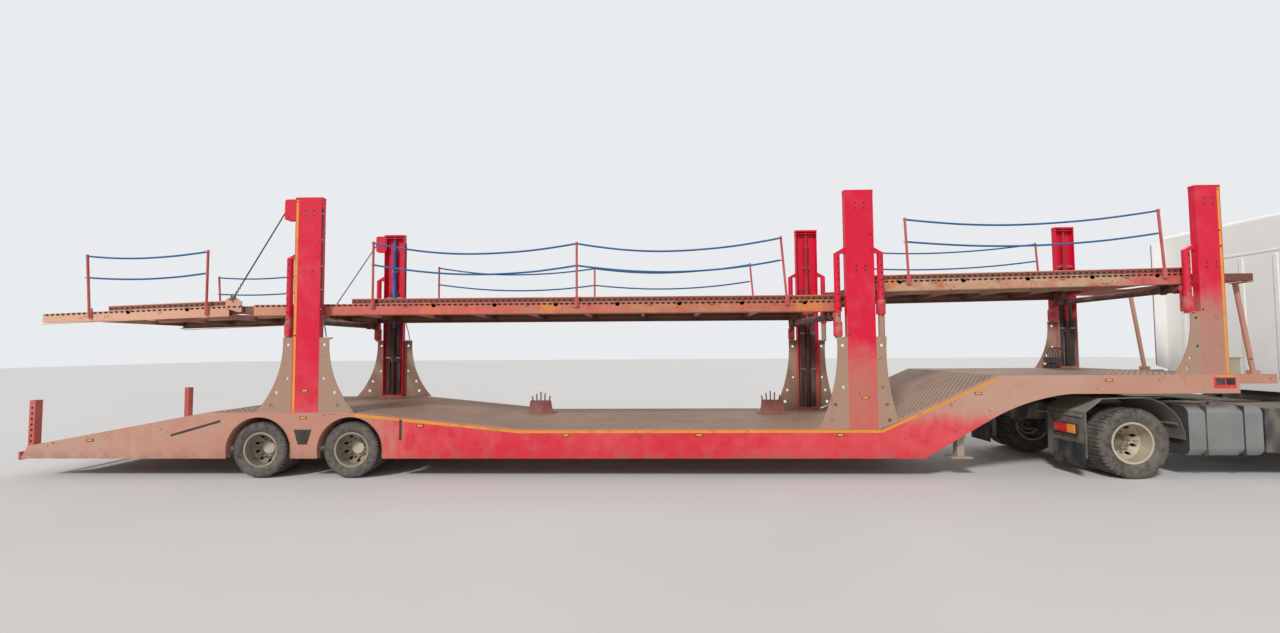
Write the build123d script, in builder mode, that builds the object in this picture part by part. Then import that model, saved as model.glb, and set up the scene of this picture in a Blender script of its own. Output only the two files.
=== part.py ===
from build123d import *
import os
from math import cos, pi, sin

os.makedirs("parts", exist_ok=True)

# Articulated car transporter: a two-deck semi-trailer hitched to a two-axle tractor.
# Millimetres. X runs forward, Y to the vehicle's left, Z up from the ground.
# A station is a distance forward from the trailer's tail.

# Overall plan
half_width = 1250
rear_axle_station = 3670
axle_spread = 1380
mid_post_station = 12570
front_post_station = 17545
kingpin_station = 16920
fifth_wheel_lead = 550
wheelbase = 3850
front_overhang = 1380
rear_post_station = rear_axle_station + axle_spread / 2
fore_axle_station = rear_axle_station + axle_spread
drive_axle_station = kingpin_station - fifth_wheel_lead
steer_axle_station = drive_axle_station + wheelbase
trailer_axle_stations = (rear_axle_station, fore_axle_station)
overall_length = steer_axle_station + front_overhang


def x_at(station):
    """Place along the vehicle of a station."""
    return station - overall_length / 2


# Side beam: heights of its top edge, and stations where the slope changes
tail_bar_width = 30
beam_web = 12
beam_depth = 90
beam_bottom = 300
tail_height = 490
bogie_deck_height = 975
low_deck_height = 715
neck_deck_height = 1480
neck_bottom = 1215
tail_top_station = 140
bogie_slope_station = 2850
bogie_end_station = 5000
low_start_station = 7580
low_end_station = 12830
neck_start_station = 14520
neck_front_station = 17850
drop_start_station = 13420
drop_arc_station = 14420
drop_end_station = 15500
drop_arc_height = 880
arch_radius = 500

# Decks and floors
floor_thickness = 25
plate_joint = 0.3
cross_depth = 90
cross_width = 70

# Trailer wheels and tyres
trailer_tyre_radius = 419
trailer_tyre_width = 245
trailer_rim_radius = 248
trailer_twin_spacing = 275
tyre_inset = 25

# Tractor wheels and tyres
tractor_tyre_radius = 507
tractor_tyre_width = 315
tractor_rim_radius = 286
tractor_twin_spacing = 345

# Posts: width and base height of each pair, with its gussets
post_depth = beam_depth
post_wall = 12
post_top = 4180
post_cap = 30
post_base_plate = 30
gusset_thickness = 12
tube_radius = 44
tube_offset = 110
tube_top = 3280
tube_seat = 20
cylinder_radius = 38

# Upper decks
deck_half_width = 1115
deck_web = 10
channel_depth = 170
channel_flange = 60
lip_height = 75
lip_inset = 24
runway_width = 560
runway_thickness = 12
runway_lip = 60
main_rear_station = 3440
main_front_station = 12345
main_bottom = 2430
tail_tip_station = 110
tail_end_station = 3050
tail_hinge_station = 3230
tail_tip_bottom = 2350
tail_tip_depth = 135
front_rear_station = 12795
front_front_station = 17350
front_rear_bottom = 2715
front_front_bottom = 2790
stub_front_station = 18430
stub_half_width = 950
stub_width = 80

# Lift beams
lift_beam_radius = 50
sleeve_radius = 60
sleeve_gap = 0.6
sleeve_height = 210
saddle_gap = 0.6
saddle_wall = 16
saddle_width = 40
saddle_slot = 20
front_slot = 24

# Tractor chassis
rail_spacing = 780
rail_depth = 250
rail_width = 80
rail_top = 990
chassis_rear_overhang = 1100
coupling_gap = 0.4
kingpin_gap = 0.4
skid_thickness = 14
kingpin_radius = 25.4
kingpin_length = 84

# Cab
cab_length = 2150
cab_half_width = 1235
cab_floor = 1150
cab_roof = 4110
cab_wall = 45
cab_corner = 190
panel_gap = 6


def side_plane(y):
    """Upright plane along the vehicle at the width y."""
    return Plane.XZ.offset(-y)


def slab(points, y_from, y_to, mode=Mode.ADD):
    """Flat plate with the side outline points (x, z), from one width to another."""
    with BuildSketch(side_plane(y_from)) as outline:
        with BuildLine():
            Polyline(*points, close=True)
        make_face()
    extrude(outline.sketch, amount=y_from - y_to, mode=mode)


def block(x_from, x_to, y_from, y_to, z_from, z_to, mode=Mode.ADD):
    """Box between two corners."""
    with Locations(((x_from + x_to) / 2, (y_from + y_to) / 2, (z_from + z_to) / 2)):
        Box(x_to - x_from, y_to - y_from, z_to - z_from, mode=mode)


def rod(start, end, radius, bore=0, mode=Mode.ADD):
    """Round bar or tube between two points."""
    reach = Vector(*end) - Vector(*start)
    with BuildSketch(Plane(origin=start, z_dir=reach)) as section:
        Circle(radius)
        if bore:
            Circle(bore, mode=Mode.SUBTRACT)
    extrude(section.sketch, amount=reach.length, mode=mode)


def save(piece, name):
    """Label a finished piece and write it."""
    piece.part.label = name
    export_step(piece.part, f"parts/{name}.step")


# Top edge of the side beams, from the tail to the neck's front: station, height
top_edge = [
    (tail_top_station, tail_height),
    (bogie_slope_station, bogie_deck_height),
    (bogie_end_station, bogie_deck_height),
    (low_start_station, low_deck_height),
    (low_end_station, low_deck_height),
    (neck_start_station, neck_deck_height),
    (neck_front_station, neck_deck_height),
]


def floor_height(station):
    """Height of the side beams' top edge at a station."""
    for (station_a, height_a), (station_b, height_b) in zip(top_edge, top_edge[1:]):
        if station <= station_b:
            share = (station - station_a) / (station_b - station_a)
            return height_a + share * (height_b - height_a)
    return top_edge[-1][1]


arc_middle_station = (drop_arc_station + drop_end_station) / 2 - 30
arc_middle_height = (drop_arc_height + neck_bottom) / 2 + 50


def beam_outline(y, inset):
    """Outline of a side beam, drawn in by a rim, with the openings over the wheels."""
    with BuildSketch(side_plane(y)) as outline:
        with BuildLine():
            Polyline(
                (x_at(drop_start_station) - inset / 2, beam_bottom + inset),
                (x_at(tail_bar_width) + 1.5 * inset, beam_bottom + inset),
                (x_at(tail_top_station), tail_height - inset),
                *[(x_at(station), height - inset) for station, height in top_edge[1:-1]],
                (x_at(neck_front_station) - inset, neck_deck_height - inset),
                (x_at(neck_front_station) - inset, neck_bottom + inset),
                (x_at(drop_end_station), neck_bottom + inset),
            )
            ThreePointArc(
                (x_at(drop_end_station), neck_bottom + inset),
                (x_at(arc_middle_station), arc_middle_height + inset),
                (x_at(drop_arc_station), drop_arc_height + inset),
            )
            Line(
                (x_at(drop_arc_station), drop_arc_height + inset),
                (x_at(drop_start_station) - inset / 2, beam_bottom + inset),
            )
        make_face()
        with Locations(*[(x_at(station), trailer_tyre_radius) for station in trailer_axle_stations]):
            Circle(arch_radius + inset, mode=Mode.SUBTRACT)
    return outline.sketch


# Side beams: an outer web with a rim all round, cut out over the wheels
with BuildPart() as side_beams:
    extrude(beam_outline(half_width, 0), amount=beam_depth)
    extrude(beam_outline(half_width - beam_web, beam_web), amount=beam_depth - beam_web, mode=Mode.SUBTRACT)
    mirror(about=Plane.XZ)
save(side_beams, "side_beams")


# Floor for the lower cars: a plate for each slope, from the tail over the wheels to the neck's front
half_floor = half_width - beam_depth
with BuildPart() as car_floor:
    for (station_a, height_a), (station_b, height_b) in zip(top_edge, top_edge[1:]):
        rear, fore = station_a + plate_joint, station_b - plate_joint
        slab(
            [
                (x_at(rear), floor_height(rear)),
                (x_at(fore), floor_height(fore)),
                (x_at(fore), floor_height(fore) - floor_thickness),
                (x_at(rear), floor_height(rear) - floor_thickness),
            ],
            -half_floor,
            half_floor,
        )
save(car_floor, "car_floor")

# Cross-members under the floor, each following its slope
cross_stations = [
    560, 1350, 2140, 3120, 4360, 5600, 6400, 7250, 8050, 8850, 9650, 10450, 11250, 12050, 12780,
    13350, 13950, 14560, 15150, 15800, 16400, 17100, 17780,
]
with BuildPart() as floor_cross_members:
    for station in cross_stations:
        behind, ahead = station - cross_width / 2, station + cross_width / 2
        top_behind, top_ahead = floor_height(behind) - floor_thickness, floor_height(ahead) - floor_thickness
        slab(
            [
                (x_at(behind), top_behind),
                (x_at(ahead), top_ahead),
                (x_at(ahead), top_ahead - cross_depth),
                (x_at(behind), top_behind - cross_depth),
            ],
            -half_floor,
            half_floor,
        )
save(floor_cross_members, "floor_cross_members")


def member_bottom(station):
    """Height of the cross-members' underside at a station."""
    return floor_height(station) - floor_thickness - cross_depth


# Long beams under the cross-members: two over the axles, and the neck's pair with its coupling plate
bogie_beam_y = 500
bogie_beam_width = 90
bogie_beam_bottom = 720
bogie_beam_rear, bogie_beam_front = 2600, 5950
bogie_beam_rise = 250
neck_beam_y = 430
neck_beam_width = 80
neck_beam_start = 14100
neck_beam_level = 15000
coupling_plate = (16250, 17600)
with BuildPart() as long_beams:
    for side in (1, -1):
        slab(
            [
                (x_at(bogie_beam_rear), member_bottom(bogie_beam_rear) - 40),
                (x_at(bogie_beam_rear + bogie_beam_rise), bogie_beam_bottom),
                (x_at(bogie_beam_front), bogie_beam_bottom),
                (x_at(bogie_beam_front), member_bottom(bogie_beam_front)),
                (x_at(bogie_end_station), member_bottom(bogie_end_station)),
                (x_at(bogie_slope_station), member_bottom(bogie_slope_station)),
                (x_at(bogie_beam_rear), member_bottom(bogie_beam_rear)),
            ],
            side * bogie_beam_y - bogie_beam_width / 2,
            side * bogie_beam_y + bogie_beam_width / 2,
        )
        slab(
            [
                (x_at(neck_beam_start), member_bottom(neck_beam_start) - 85),
                (x_at(neck_beam_level), neck_bottom),
                (x_at(neck_front_station), neck_bottom),
                (x_at(neck_front_station), member_bottom(neck_front_station)),
                (x_at(neck_start_station), member_bottom(neck_start_station)),
                (x_at(neck_beam_start), member_bottom(neck_beam_start)),
            ],
            side * neck_beam_y - neck_beam_width / 2,
            side * neck_beam_y + neck_beam_width / 2,
        )
    block(
        x_at(coupling_plate[0]),
        x_at(coupling_plate[1]),
        -neck_beam_y - neck_beam_width,
        neck_beam_y + neck_beam_width,
        neck_bottom - skid_thickness,
        neck_bottom,
    )
    kingpin_top = neck_bottom - skid_thickness
    rod(
        (x_at(kingpin_station), 0, kingpin_top - kingpin_length),
        (x_at(kingpin_station), 0, neck_bottom),
        kingpin_radius,
    )
save(long_beams, "long_beams")

# Nose frame ahead of the gooseneck, with the props under the front deck's arms
nose_y = 800
nose_bottom = 1320
nose_depth = 140
nose_width = 80
nose_front_station = 18880
arm_bottom = front_front_bottom + 60
prop_foot = (x_at(18580), nose_y, nose_bottom + nose_depth)
prop_head = (x_at(18390), nose_y, arm_bottom - 6)
with BuildPart() as nose_frame:
    for side in (1, -1):
        block(
            x_at(neck_front_station),
            x_at(nose_front_station),
            side * nose_y - nose_width / 2,
            side * nose_y + nose_width / 2,
            nose_bottom,
            nose_bottom + nose_depth,
        )
    for station in (nose_front_station - nose_width / 2, (neck_front_station + nose_front_station) / 2):
        block(
            x_at(station) - nose_width / 2,
            x_at(station) + nose_width / 2,
            -nose_y,
            nose_y,
            nose_bottom + 20,
            nose_bottom + nose_depth - 20,
        )
    for side in (1, -1):
        y_prop = side * nose_y
        rod((prop_foot[0], y_prop, prop_foot[2] + 30), (prop_head[0], y_prop, prop_head[2] - 14), 30)
        y_low, y_high = sorted((side * (nose_y - 40), side * (nose_y + 190)))
        block(prop_head[0] - 50, prop_head[0] + 50, y_low, y_high, prop_head[2] - 14, prop_head[2])
        block(prop_foot[0] - 60, prop_foot[0] + 60, y_prop - 40, y_prop + 40, prop_foot[2], prop_foot[2] + 60)
save(nose_frame, "nose_frame")

# Tail: cross bar with end posts that stand at the deck's rear corners
tail_bar_depth = 120
tail_post_width = beam_depth
tail_post_top = 1170
tail_post_y = half_width - tail_post_width / 2
with BuildPart() as tail_frame:
    block(x_at(0), x_at(tail_bar_width), -half_width, half_width, beam_bottom - 20, beam_bottom - 20 + tail_bar_depth)
    post_foot = floor_height(tail_top_station + tail_post_width)
    x_post = x_at(tail_top_station)
    for side in (1, -1):
        with BuildSketch(Plane.XY.offset(post_foot)) as tail_post:
            with Locations((x_post + tail_post_width / 2, side * tail_post_y)):
                Rectangle(tail_post_width, tail_post_width)
                Rectangle(tail_post_width - 16, tail_post_width - 16, mode=Mode.SUBTRACT)
        extrude(tail_post.sketch, amount=tail_post_top - post_foot)
        slab(
            [(x_post, tail_height), (x_post + tail_post_width, post_foot), (x_post, post_foot)],
            side * tail_post_y - tail_post_width / 2,
            side * tail_post_y + tail_post_width / 2,
        )
save(tail_frame, "tail_frame")


# Posts with their gussets and guide tubes
pulley_radius = 75
pulley_height = 4030
pulley_reach = 90
housing_reach = 175
housing_depth = 320
housing_height = 4025

# name: station, width, base height, gusset top, gusset foot behind, gusset foot ahead, sides with a tube
post_table = {
    "rear_posts": (rear_post_station, 400, bogie_deck_height, 2070, 545, 550, (-1,)),
    "mid_posts": (mid_post_station, 410, low_deck_height, 2030, 440, 300, (-1, 1)),
    "front_posts": (front_post_station, 350, neck_deck_height, 2360, 420, 0, (-1,)),
}
gusset_shoulder = 150
tube_y = half_width - sleeve_radius - 2
for name, (station, width, base, gusset_top, foot_behind, foot_ahead, tube_sides) in post_table.items():
    with BuildPart() as posts:
        x_rear = x_at(station) - width / 2
        x_fore = x_at(station) + width / 2
        y_outer = half_width
        y_inner = half_width - post_depth
        block(x_rear, x_fore, y_outer - post_wall, y_outer, base, post_top)
        block(x_rear, x_rear + post_wall, y_inner, y_outer, base, post_top)
        block(x_fore - post_wall, x_fore, y_inner, y_outer, base, post_top)
        block(x_rear - 5, x_fore + 5, y_inner, y_outer, post_top, post_top + post_cap)
        block(x_rear, x_fore, y_inner, y_outer, base, base + post_base_plate)
        for edge, away, foot in ((x_rear, -1, foot_behind), (x_fore, 1, foot_ahead)):
            if not foot:
                continue
            x_foot = edge + away * foot
            x_shoulder = edge + away * gusset_shoulder
            foot_base = max(base, floor_height(station + away * (width / 2 + foot)))
            bend = (edge + away * (gusset_shoulder + 0.27 * (foot - gusset_shoulder)), base + 0.42 * (gusset_top - base))
            with BuildSketch(side_plane(y_outer)) as gusset:
                with BuildLine():
                    Polyline((x_shoulder, gusset_top), (edge, gusset_top), (edge, base), (x_foot, foot_base))
                    ThreePointArc((x_foot, foot_base), bend, (x_shoulder, gusset_top))
                make_face()
                gusset_height = gusset_top - base
                for share, reach, radius in ((0.10, 0.55, 30), (0.27, 0.44, 26), (0.46, 0.5, 22), (0.92, 0.5, 22)):
                    hole_reach = reach * (foot if share < 0.4 else gusset_shoulder)
                    with Locations((edge + away * hole_reach, base + share * gusset_height)):
                        Circle(radius, mode=Mode.SUBTRACT)
            extrude(gusset.sketch, amount=gusset_thickness)
            x_low, x_high = sorted((edge, x_shoulder))
            block(x_low, x_high, y_inner, y_outer, gusset_top, gusset_top + tube_seat)
        for away in tube_sides:
            edge = x_at(station) + away * width / 2
            x_tube = edge + away * tube_offset
            rod((x_tube, tube_y, gusset_top + tube_seat), (x_tube, tube_y, tube_top), tube_radius)
            bracket = [(x_tube + away * tube_radius, tube_top), (edge, tube_top), (edge, tube_top + 90)]
            slab(bracket, tube_y - 30, tube_y + 30)
        if name == "rear_posts":
            x_pulley = x_rear - pulley_reach
            y_pulley = y_outer - post_depth / 2
            for y_cheek in (y_outer - 12, y_inner + 12):
                with BuildSketch(side_plane(y_cheek - 5)) as cheek:
                    with Locations((x_rear - housing_reach / 2 + 20, housing_height)):
                        RectangleRounded(housing_reach + 40, housing_depth, 38)
                    with Locations((x_rear - housing_reach / 2 - 20, housing_height - housing_depth / 2 + 45)):
                        Circle(14, mode=Mode.SUBTRACT)
                extrude(cheek.sketch, amount=-10)
            rod((x_pulley, y_inner + 7, pulley_height), (x_pulley, y_outer - 7, pulley_height), 20)
            rod((x_pulley, y_pulley - 18, pulley_height), (x_pulley, y_pulley + 18, pulley_height), pulley_radius)
            rod(
                (x_pulley, y_pulley - 8.5, pulley_height),
                (x_pulley, y_pulley + 8.5, pulley_height),
                pulley_radius + 10,
                bore=pulley_radius - 14,
                mode=Mode.SUBTRACT,
            )
        mirror(about=Plane.XZ)
    save(posts, name)

# Lift cylinders inside the posts
cylinder_y = half_width - post_wall - cylinder_radius - 1
cylinder_rod_length = 900
with BuildPart() as lift_cylinders:
    for station, width, base, gusset_top, *rest in post_table.values():
        foot = (x_at(station), cylinder_y, base + post_base_plate)
        neck = (x_at(station), cylinder_y, post_top - cylinder_rod_length)
        head = (x_at(station), cylinder_y, post_top)
        rod(foot, neck, cylinder_radius)
        rod(neck, head, 0.5 * cylinder_radius)
    mirror(about=Plane.XZ)
save(lift_cylinders, "lift_cylinders")


def add_deck(x_rear, x_fore, bottom_rear, bottom_fore, depth_rear, depth_fore, spacing, lip_start, members=False):
    """Two runways with their side channels, or only the cross-members between the runways."""

    def bottom(x):
        """Height of the side channels' underside."""
        return bottom_rear + (x - x_rear) / (x_fore - x_rear) * (bottom_fore - bottom_rear)

    def depth(x):
        """Depth of the side channels."""
        return depth_rear + (x - x_rear) / (x_fore - x_rear) * (depth_fore - depth_rear)

    def strip(low_rear, low_fore, thickness, y_from, y_to):
        """Long bar with a constant thickness that follows the deck."""
        slab(
            [(x_rear, low_rear), (x_fore, low_fore), (x_fore, low_fore + thickness), (x_rear, low_rear + thickness)],
            y_from,
            y_to,
        )

    y_web = deck_half_width - deck_web
    y_runway = deck_half_width - deck_web - runway_width
    runway_rear = bottom_rear + depth_rear
    runway_fore = bottom_fore + depth_fore
    count = max(2, round((x_fore - x_rear) / spacing))
    for index in range(count + 1):
        x_centre = x_rear + 30 + index * (x_fore - x_rear - 60) / count
        z_runway = min(bottom(x_centre - 30) + depth(x_centre - 30), bottom(x_centre + 30) + depth(x_centre + 30))
        z_top = z_runway - runway_thickness / 2
        z_under = z_runway - 0.62 * depth(x_centre)
        if members:
            block(x_centre - 30, x_centre + 30, -y_runway, y_runway, z_under, z_top)
        else:
            for side in (1, -1):
                y_low, y_high = sorted((side * (y_runway + deck_web / 2), side * y_web))
                block(x_centre - 30, x_centre + 30, y_low, y_high, z_under, z_top)
    if members:
        return
    for side in (1, -1):
        slab(
            [
                (x_rear, bottom_rear),
                (x_fore, bottom_fore),
                (x_fore, runway_fore),
                (x_rear, runway_rear),
            ],
            min(side * y_web, side * deck_half_width),
            max(side * y_web, side * deck_half_width),
        )
        y_flange = sorted((side * y_web, side * (y_web - channel_flange)))
        strip(bottom_rear, bottom_fore, deck_web, *y_flange)
        runway_lip_rear = bottom(x_rear + lip_start) + depth(x_rear + lip_start)
        slab(
            [
                (x_rear + lip_start, runway_lip_rear - 2),
                (x_fore, runway_fore - 2),
                (x_fore, runway_fore + lip_height),
                (x_rear + lip_start, runway_lip_rear + lip_height),
            ],
            min(side * (y_web - lip_inset), side * (y_web - lip_inset - deck_web)),
            max(side * (y_web - lip_inset), side * (y_web - lip_inset - deck_web)),
        )
        y_sheet = sorted((side * y_web, side * y_runway))
        strip(runway_rear - runway_thickness, runway_fore - runway_thickness, runway_thickness, *y_sheet)
        y_inner_lip = sorted((side * y_runway, side * (y_runway + deck_web)))
        strip(runway_rear - runway_lip, runway_fore - runway_lip, runway_lip, *y_inner_lip)


def add_saddles(x_pin, z_pin, z_top, slot=0):
    """Ears under a deck that hold it on a lift beam, with a round hole or a slot for the beam."""
    hole = lift_beam_radius + saddle_gap
    ear = hole + saddle_wall
    for side in (1, -1):
        for y_ear in (860, 1040):
            y_low = side * y_ear - saddle_width / 2
            with BuildSketch(side_plane(y_low)) as ear_face:
                with Locations((x_pin, z_pin)):
                    SlotCenterToCenter(max(2 * slot, 1), 2 * ear)
                with Locations((x_pin, (z_pin + z_top) / 2)):
                    Rectangle(2 * ear + 2 * slot, z_top - z_pin)
                with Locations((x_pin, z_pin)):
                    if slot:
                        SlotCenterToCenter(2 * slot, 2 * hole, mode=Mode.SUBTRACT)
                    else:
                        Circle(hole, mode=Mode.SUBTRACT)
            extrude(ear_face.sketch, amount=-saddle_width)


def add_lift_beam(x_beam, z_beam, sleeve_bottom):
    """Round cross beam with a sleeve on the guide tube at each end."""
    y_cheek = tube_y - sleeve_radius - 6
    rod((x_beam, -y_cheek, z_beam), (x_beam, y_cheek, z_beam), lift_beam_radius)
    for side in (1, -1):
        foot = (x_beam, side * tube_y, sleeve_bottom)
        head = (x_beam, side * tube_y, sleeve_bottom + sleeve_height)
        y_low, y_high = sorted((side * y_cheek, side * (y_cheek + 14)))
        block(x_beam - 45, x_beam + 45, y_low, y_high, sleeve_bottom, z_beam + lift_beam_radius)
        rod(foot, head, sleeve_radius)
        rod(foot, head, tube_radius + sleeve_gap, mode=Mode.SUBTRACT)


x_main_rear, x_main_fore = x_at(main_rear_station), x_at(main_front_station)
x_front_rear, x_front_fore = x_at(front_rear_station), x_at(front_front_station)


def tube_foot(name, away):
    """Place along the vehicle and foot height of a guide tube."""
    station, width, base, gusset_top, *rest = post_table[name]
    return x_at(station) + away * (width / 2 + tube_offset), gusset_top + tube_seat


rear_beam_x, rear_tube_foot = tube_foot("rear_posts", -1)
main_beam_x, main_tube_foot = tube_foot("mid_posts", -1)
front_beam_x, front_tube_foot = tube_foot("mid_posts", 1)
fore_beam_x, fore_tube_foot = tube_foot("front_posts", -1)
main_beam_z = main_bottom - lift_beam_radius - 15
front_beam_z = front_rear_bottom - lift_beam_radius - 15
fore_beam_z = front_front_bottom - lift_beam_radius - 15

# Tail hinge: pins on the main deck's rear arms, and the lugs that take the lift cables
hinge_y = 1060
hinge_plate = 25
hinge_side_gap = 6
hinge_pin_radius = 18
x_tail_tip = x_at(tail_tip_station)
x_tail_end = x_at(tail_end_station)
x_hinge = x_at(tail_hinge_station)
z_hinge = main_bottom + 90
lug_y = deck_half_width + 6
lug_plate = 15
lug_hole = (x_hinge - 120, z_hinge + 160)
lug_hole_radius = 13
lug_outline = [
    (x_hinge + 30, z_hinge - 30),
    (x_hinge + 30, z_hinge + 130),
    (x_hinge - 120, z_hinge + 220),
    (x_hinge - 220, z_hinge + 160),
    (x_hinge - 220, z_hinge + 30),
    (x_hinge - 30, z_hinge - 30),
]

# Upper decks: ends, underside heights, channel depths, spacing of the cross-members, start of the edge strip
main_form = (x_main_rear, x_main_fore, main_bottom, main_bottom, channel_depth, channel_depth, 980, 1500)
tail_form = (
    x_tail_tip,
    x_tail_end,
    tail_tip_bottom,
    main_bottom - 10,
    tail_tip_depth,
    channel_depth,
    960,
    1000,
)
front_form = (
    x_front_rear,
    x_front_fore,
    front_rear_bottom,
    front_front_bottom,
    channel_depth,
    channel_depth,
    1000,
    60,
)

# Main upper deck, hinged on its rear lift beam and sliding a little on the front one
with BuildPart() as main_deck:
    add_deck(*main_form)
    saddle_top = main_bottom + channel_depth - runway_thickness / 2
    add_saddles(rear_beam_x, main_beam_z, saddle_top)
    add_saddles(main_beam_x, main_beam_z, saddle_top, slot=saddle_slot)
    for side in (1, -1):
        y_low, y_high = sorted((side * (hinge_y + hinge_side_gap), side * (hinge_y + hinge_side_gap + hinge_plate)))
        slab(
            [
                (x_main_rear + 90, z_hinge - 70),
                (x_hinge - 40, z_hinge - 55),
                (x_hinge - 130, z_hinge + 20),
                (x_hinge - 130, z_hinge + 60),
                (x_main_rear + 90, z_hinge + 60),
            ],
            y_low,
            y_high,
        )
        y_low, y_high = sorted((side * lug_y, side * (lug_y + lug_plate)))
        slab(lug_outline, y_low, y_high)
        y_low, y_high = sorted((side * (hinge_y + hinge_side_gap), side * (lug_y + lug_plate)))
        rod((x_hinge, y_low, z_hinge), (x_hinge, y_high, z_hinge), 30)
        y_low, y_high = sorted((side * (hinge_y - hinge_plate - 10), side * (hinge_y + hinge_side_gap + 10)))
        rod((x_hinge, y_low, z_hinge), (x_hinge, y_high, z_hinge), hinge_pin_radius)
        y_low, y_high = sorted((side * (lug_y - 20), side * (lug_y + lug_plate + 20)))
        rod((lug_hole[0], y_low, lug_hole[1]), (lug_hole[0], y_high, lug_hole[1]), lug_hole_radius, mode=Mode.SUBTRACT)
save(main_deck, "main_deck")

# Tail platform, with arms that turn on the main deck's hinge pins
with BuildPart() as tail_deck:
    add_deck(*tail_form)
    for side in (1, -1):
        y_low, y_high = sorted((side * (hinge_y - hinge_plate), side * hinge_y))
        with BuildSketch(side_plane(y_low)) as arm_face:
            with BuildLine():
                Polyline(
                    (x_tail_end - 60, z_hinge - 75),
                    (x_hinge, z_hinge - 45),
                    (x_hinge, z_hinge + 45),
                    (x_tail_end - 60, z_hinge + 60),
                    close=True,
                )
            make_face()
            with Locations((x_hinge, z_hinge)):
                Circle(45)
                Circle(hinge_pin_radius + 1, mode=Mode.SUBTRACT)
        extrude(arm_face.sketch, amount=-hinge_plate)
save(tail_deck, "tail_deck")

# Front upper deck
with BuildPart() as front_deck:
    add_deck(*front_form)
    for x_saddle, z_saddle, slot in ((front_beam_x, front_beam_z, front_slot), (fore_beam_x, fore_beam_z, 0)):
        share = (x_saddle - x_front_rear) / (x_front_fore - x_front_rear)
        deck_bottom = front_rear_bottom + share * (front_front_bottom - front_rear_bottom)
        add_saddles(x_saddle, z_saddle, deck_bottom + channel_depth - runway_thickness / 2, slot=slot)
save(front_deck, "front_deck")

# Cross-members between the runways, and the front deck's narrower arms that reach past the front posts
with BuildPart() as main_cross_members:
    add_deck(*main_form, members=True)
save(main_cross_members, "main_cross_members")

with BuildPart() as tail_cross_members:
    add_deck(*tail_form, members=True)
save(tail_cross_members, "tail_cross_members")

x_stub = x_at(stub_front_station)
with BuildPart() as front_cross_members:
    add_deck(*front_form, members=True)
    arm_top = front_front_bottom + channel_depth
    for side in (1, -1):
        y_arm = side * stub_half_width
        block(x_front_fore, x_stub, y_arm - stub_width / 2, y_arm + stub_width / 2, arm_bottom, arm_top)
    block(x_stub - stub_width, x_stub, -stub_half_width, stub_half_width, arm_bottom + 10, arm_top - 10)
save(front_cross_members, "front_cross_members")

# Lift beams that run up and down the guide tubes
beam_table = [
    ("rear_lift_beam", rear_beam_x, main_beam_z, rear_tube_foot + 10),
    ("main_lift_beam", main_beam_x, main_beam_z, main_tube_foot + 10),
    ("front_lift_beam", front_beam_x, front_beam_z, front_tube_foot + 330),
    ("fore_lift_beam", fore_beam_x, fore_beam_z, fore_tube_foot + 10),
]
for name, x_beam, z_beam, sleeve_bottom in beam_table:
    with BuildPart() as lift_beam:
        add_lift_beam(x_beam, z_beam, sleeve_bottom)
    save(lift_beam, name)

# Stanchions along the upper decks: node, then station of foot, station of head, foot height, head height
stanchion_radius = 17
stanchion_y = deck_half_width + stanchion_radius + 1
stanchion_table = {
    "tail_stanchions": [(870, 800, 2505, 3400), (2710, 2710, 2540, 3450)],
    "main_stanchions": [(5290, 5290, 2620, 3550), (8400, 8400, 2620, 3510), (11540, 11456, 2620, 3560)],
    "front_stanchions": [(13330, 13290, 2910, 3816), (17020, 16960, 2970, 3900)],
}
for name, rows in stanchion_table.items():
    with BuildPart() as stanchions:
        for foot_station, head_station, foot_height, head_height in rows:
            foot = (x_at(foot_station), stanchion_y, foot_height - 90)
            head = (x_at(head_station), stanchion_y, head_height)
            rod(foot, head, stanchion_radius)
            block(
                foot[0] - 30, foot[0] + 30, deck_half_width, deck_half_width + 20, foot_height - 90, foot_height + 60
            )
        mirror(about=Plane.XZ)
    save(stanchions, name)

# Lift cables from the rear posts' heads to the main deck's rear corners
cable_radius = 7
cable_groove = pulley_radius - 14 + cable_radius + 0.3
cable_lean = 0.53
cable_top = (
    x_at(rear_post_station) - 200 - pulley_reach - cable_groove * cos(cable_lean),
    half_width - post_depth / 2,
    pulley_height + cable_groove * sin(cable_lean),
)
cable_foot = (lug_hole[0] + 10, lug_y + lug_plate + cable_radius + 1.5, lug_hole[1])
with BuildPart() as lift_cables:
    rod(cable_foot, cable_top, cable_radius)
    mirror(about=Plane.XZ)
save(lift_cables, "lift_cables")

# Landing legs behind the neck's drop
leg_station = 14015
leg_y = 1060
leg_width = 130
leg_foot = 275
leg_sleeve_bottom = 560
with BuildPart() as landing_legs:
    x_leg = x_at(leg_station)
    behind, ahead = leg_station - leg_width / 2, leg_station + leg_width / 2
    slab(
        [
            (x_at(behind), leg_sleeve_bottom),
            (x_at(ahead), leg_sleeve_bottom),
            (x_at(ahead), member_bottom(ahead)),
            (x_at(behind), member_bottom(behind)),
        ],
        leg_y - leg_width / 2,
        leg_y + leg_width / 2,
    )
    leg_inner = leg_width / 2 - 15
    block(x_leg - leg_inner, x_leg + leg_inner, leg_y - leg_inner, leg_y + leg_inner, leg_foot + 20, leg_sleeve_bottom)
    block(x_leg - 150, x_leg + 150, leg_y - 90, leg_y + 90, leg_foot, leg_foot + 20)
    mirror(about=Plane.XZ)
save(landing_legs, "landing_legs")


def wheel_plane(x, radius):
    """Upright plane across the vehicle through a wheel's centre: local x is Y, local y is up."""
    return Plane(origin=(x, 0, radius), x_dir=(0, 1, 0), z_dir=(1, 0, 0))


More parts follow.
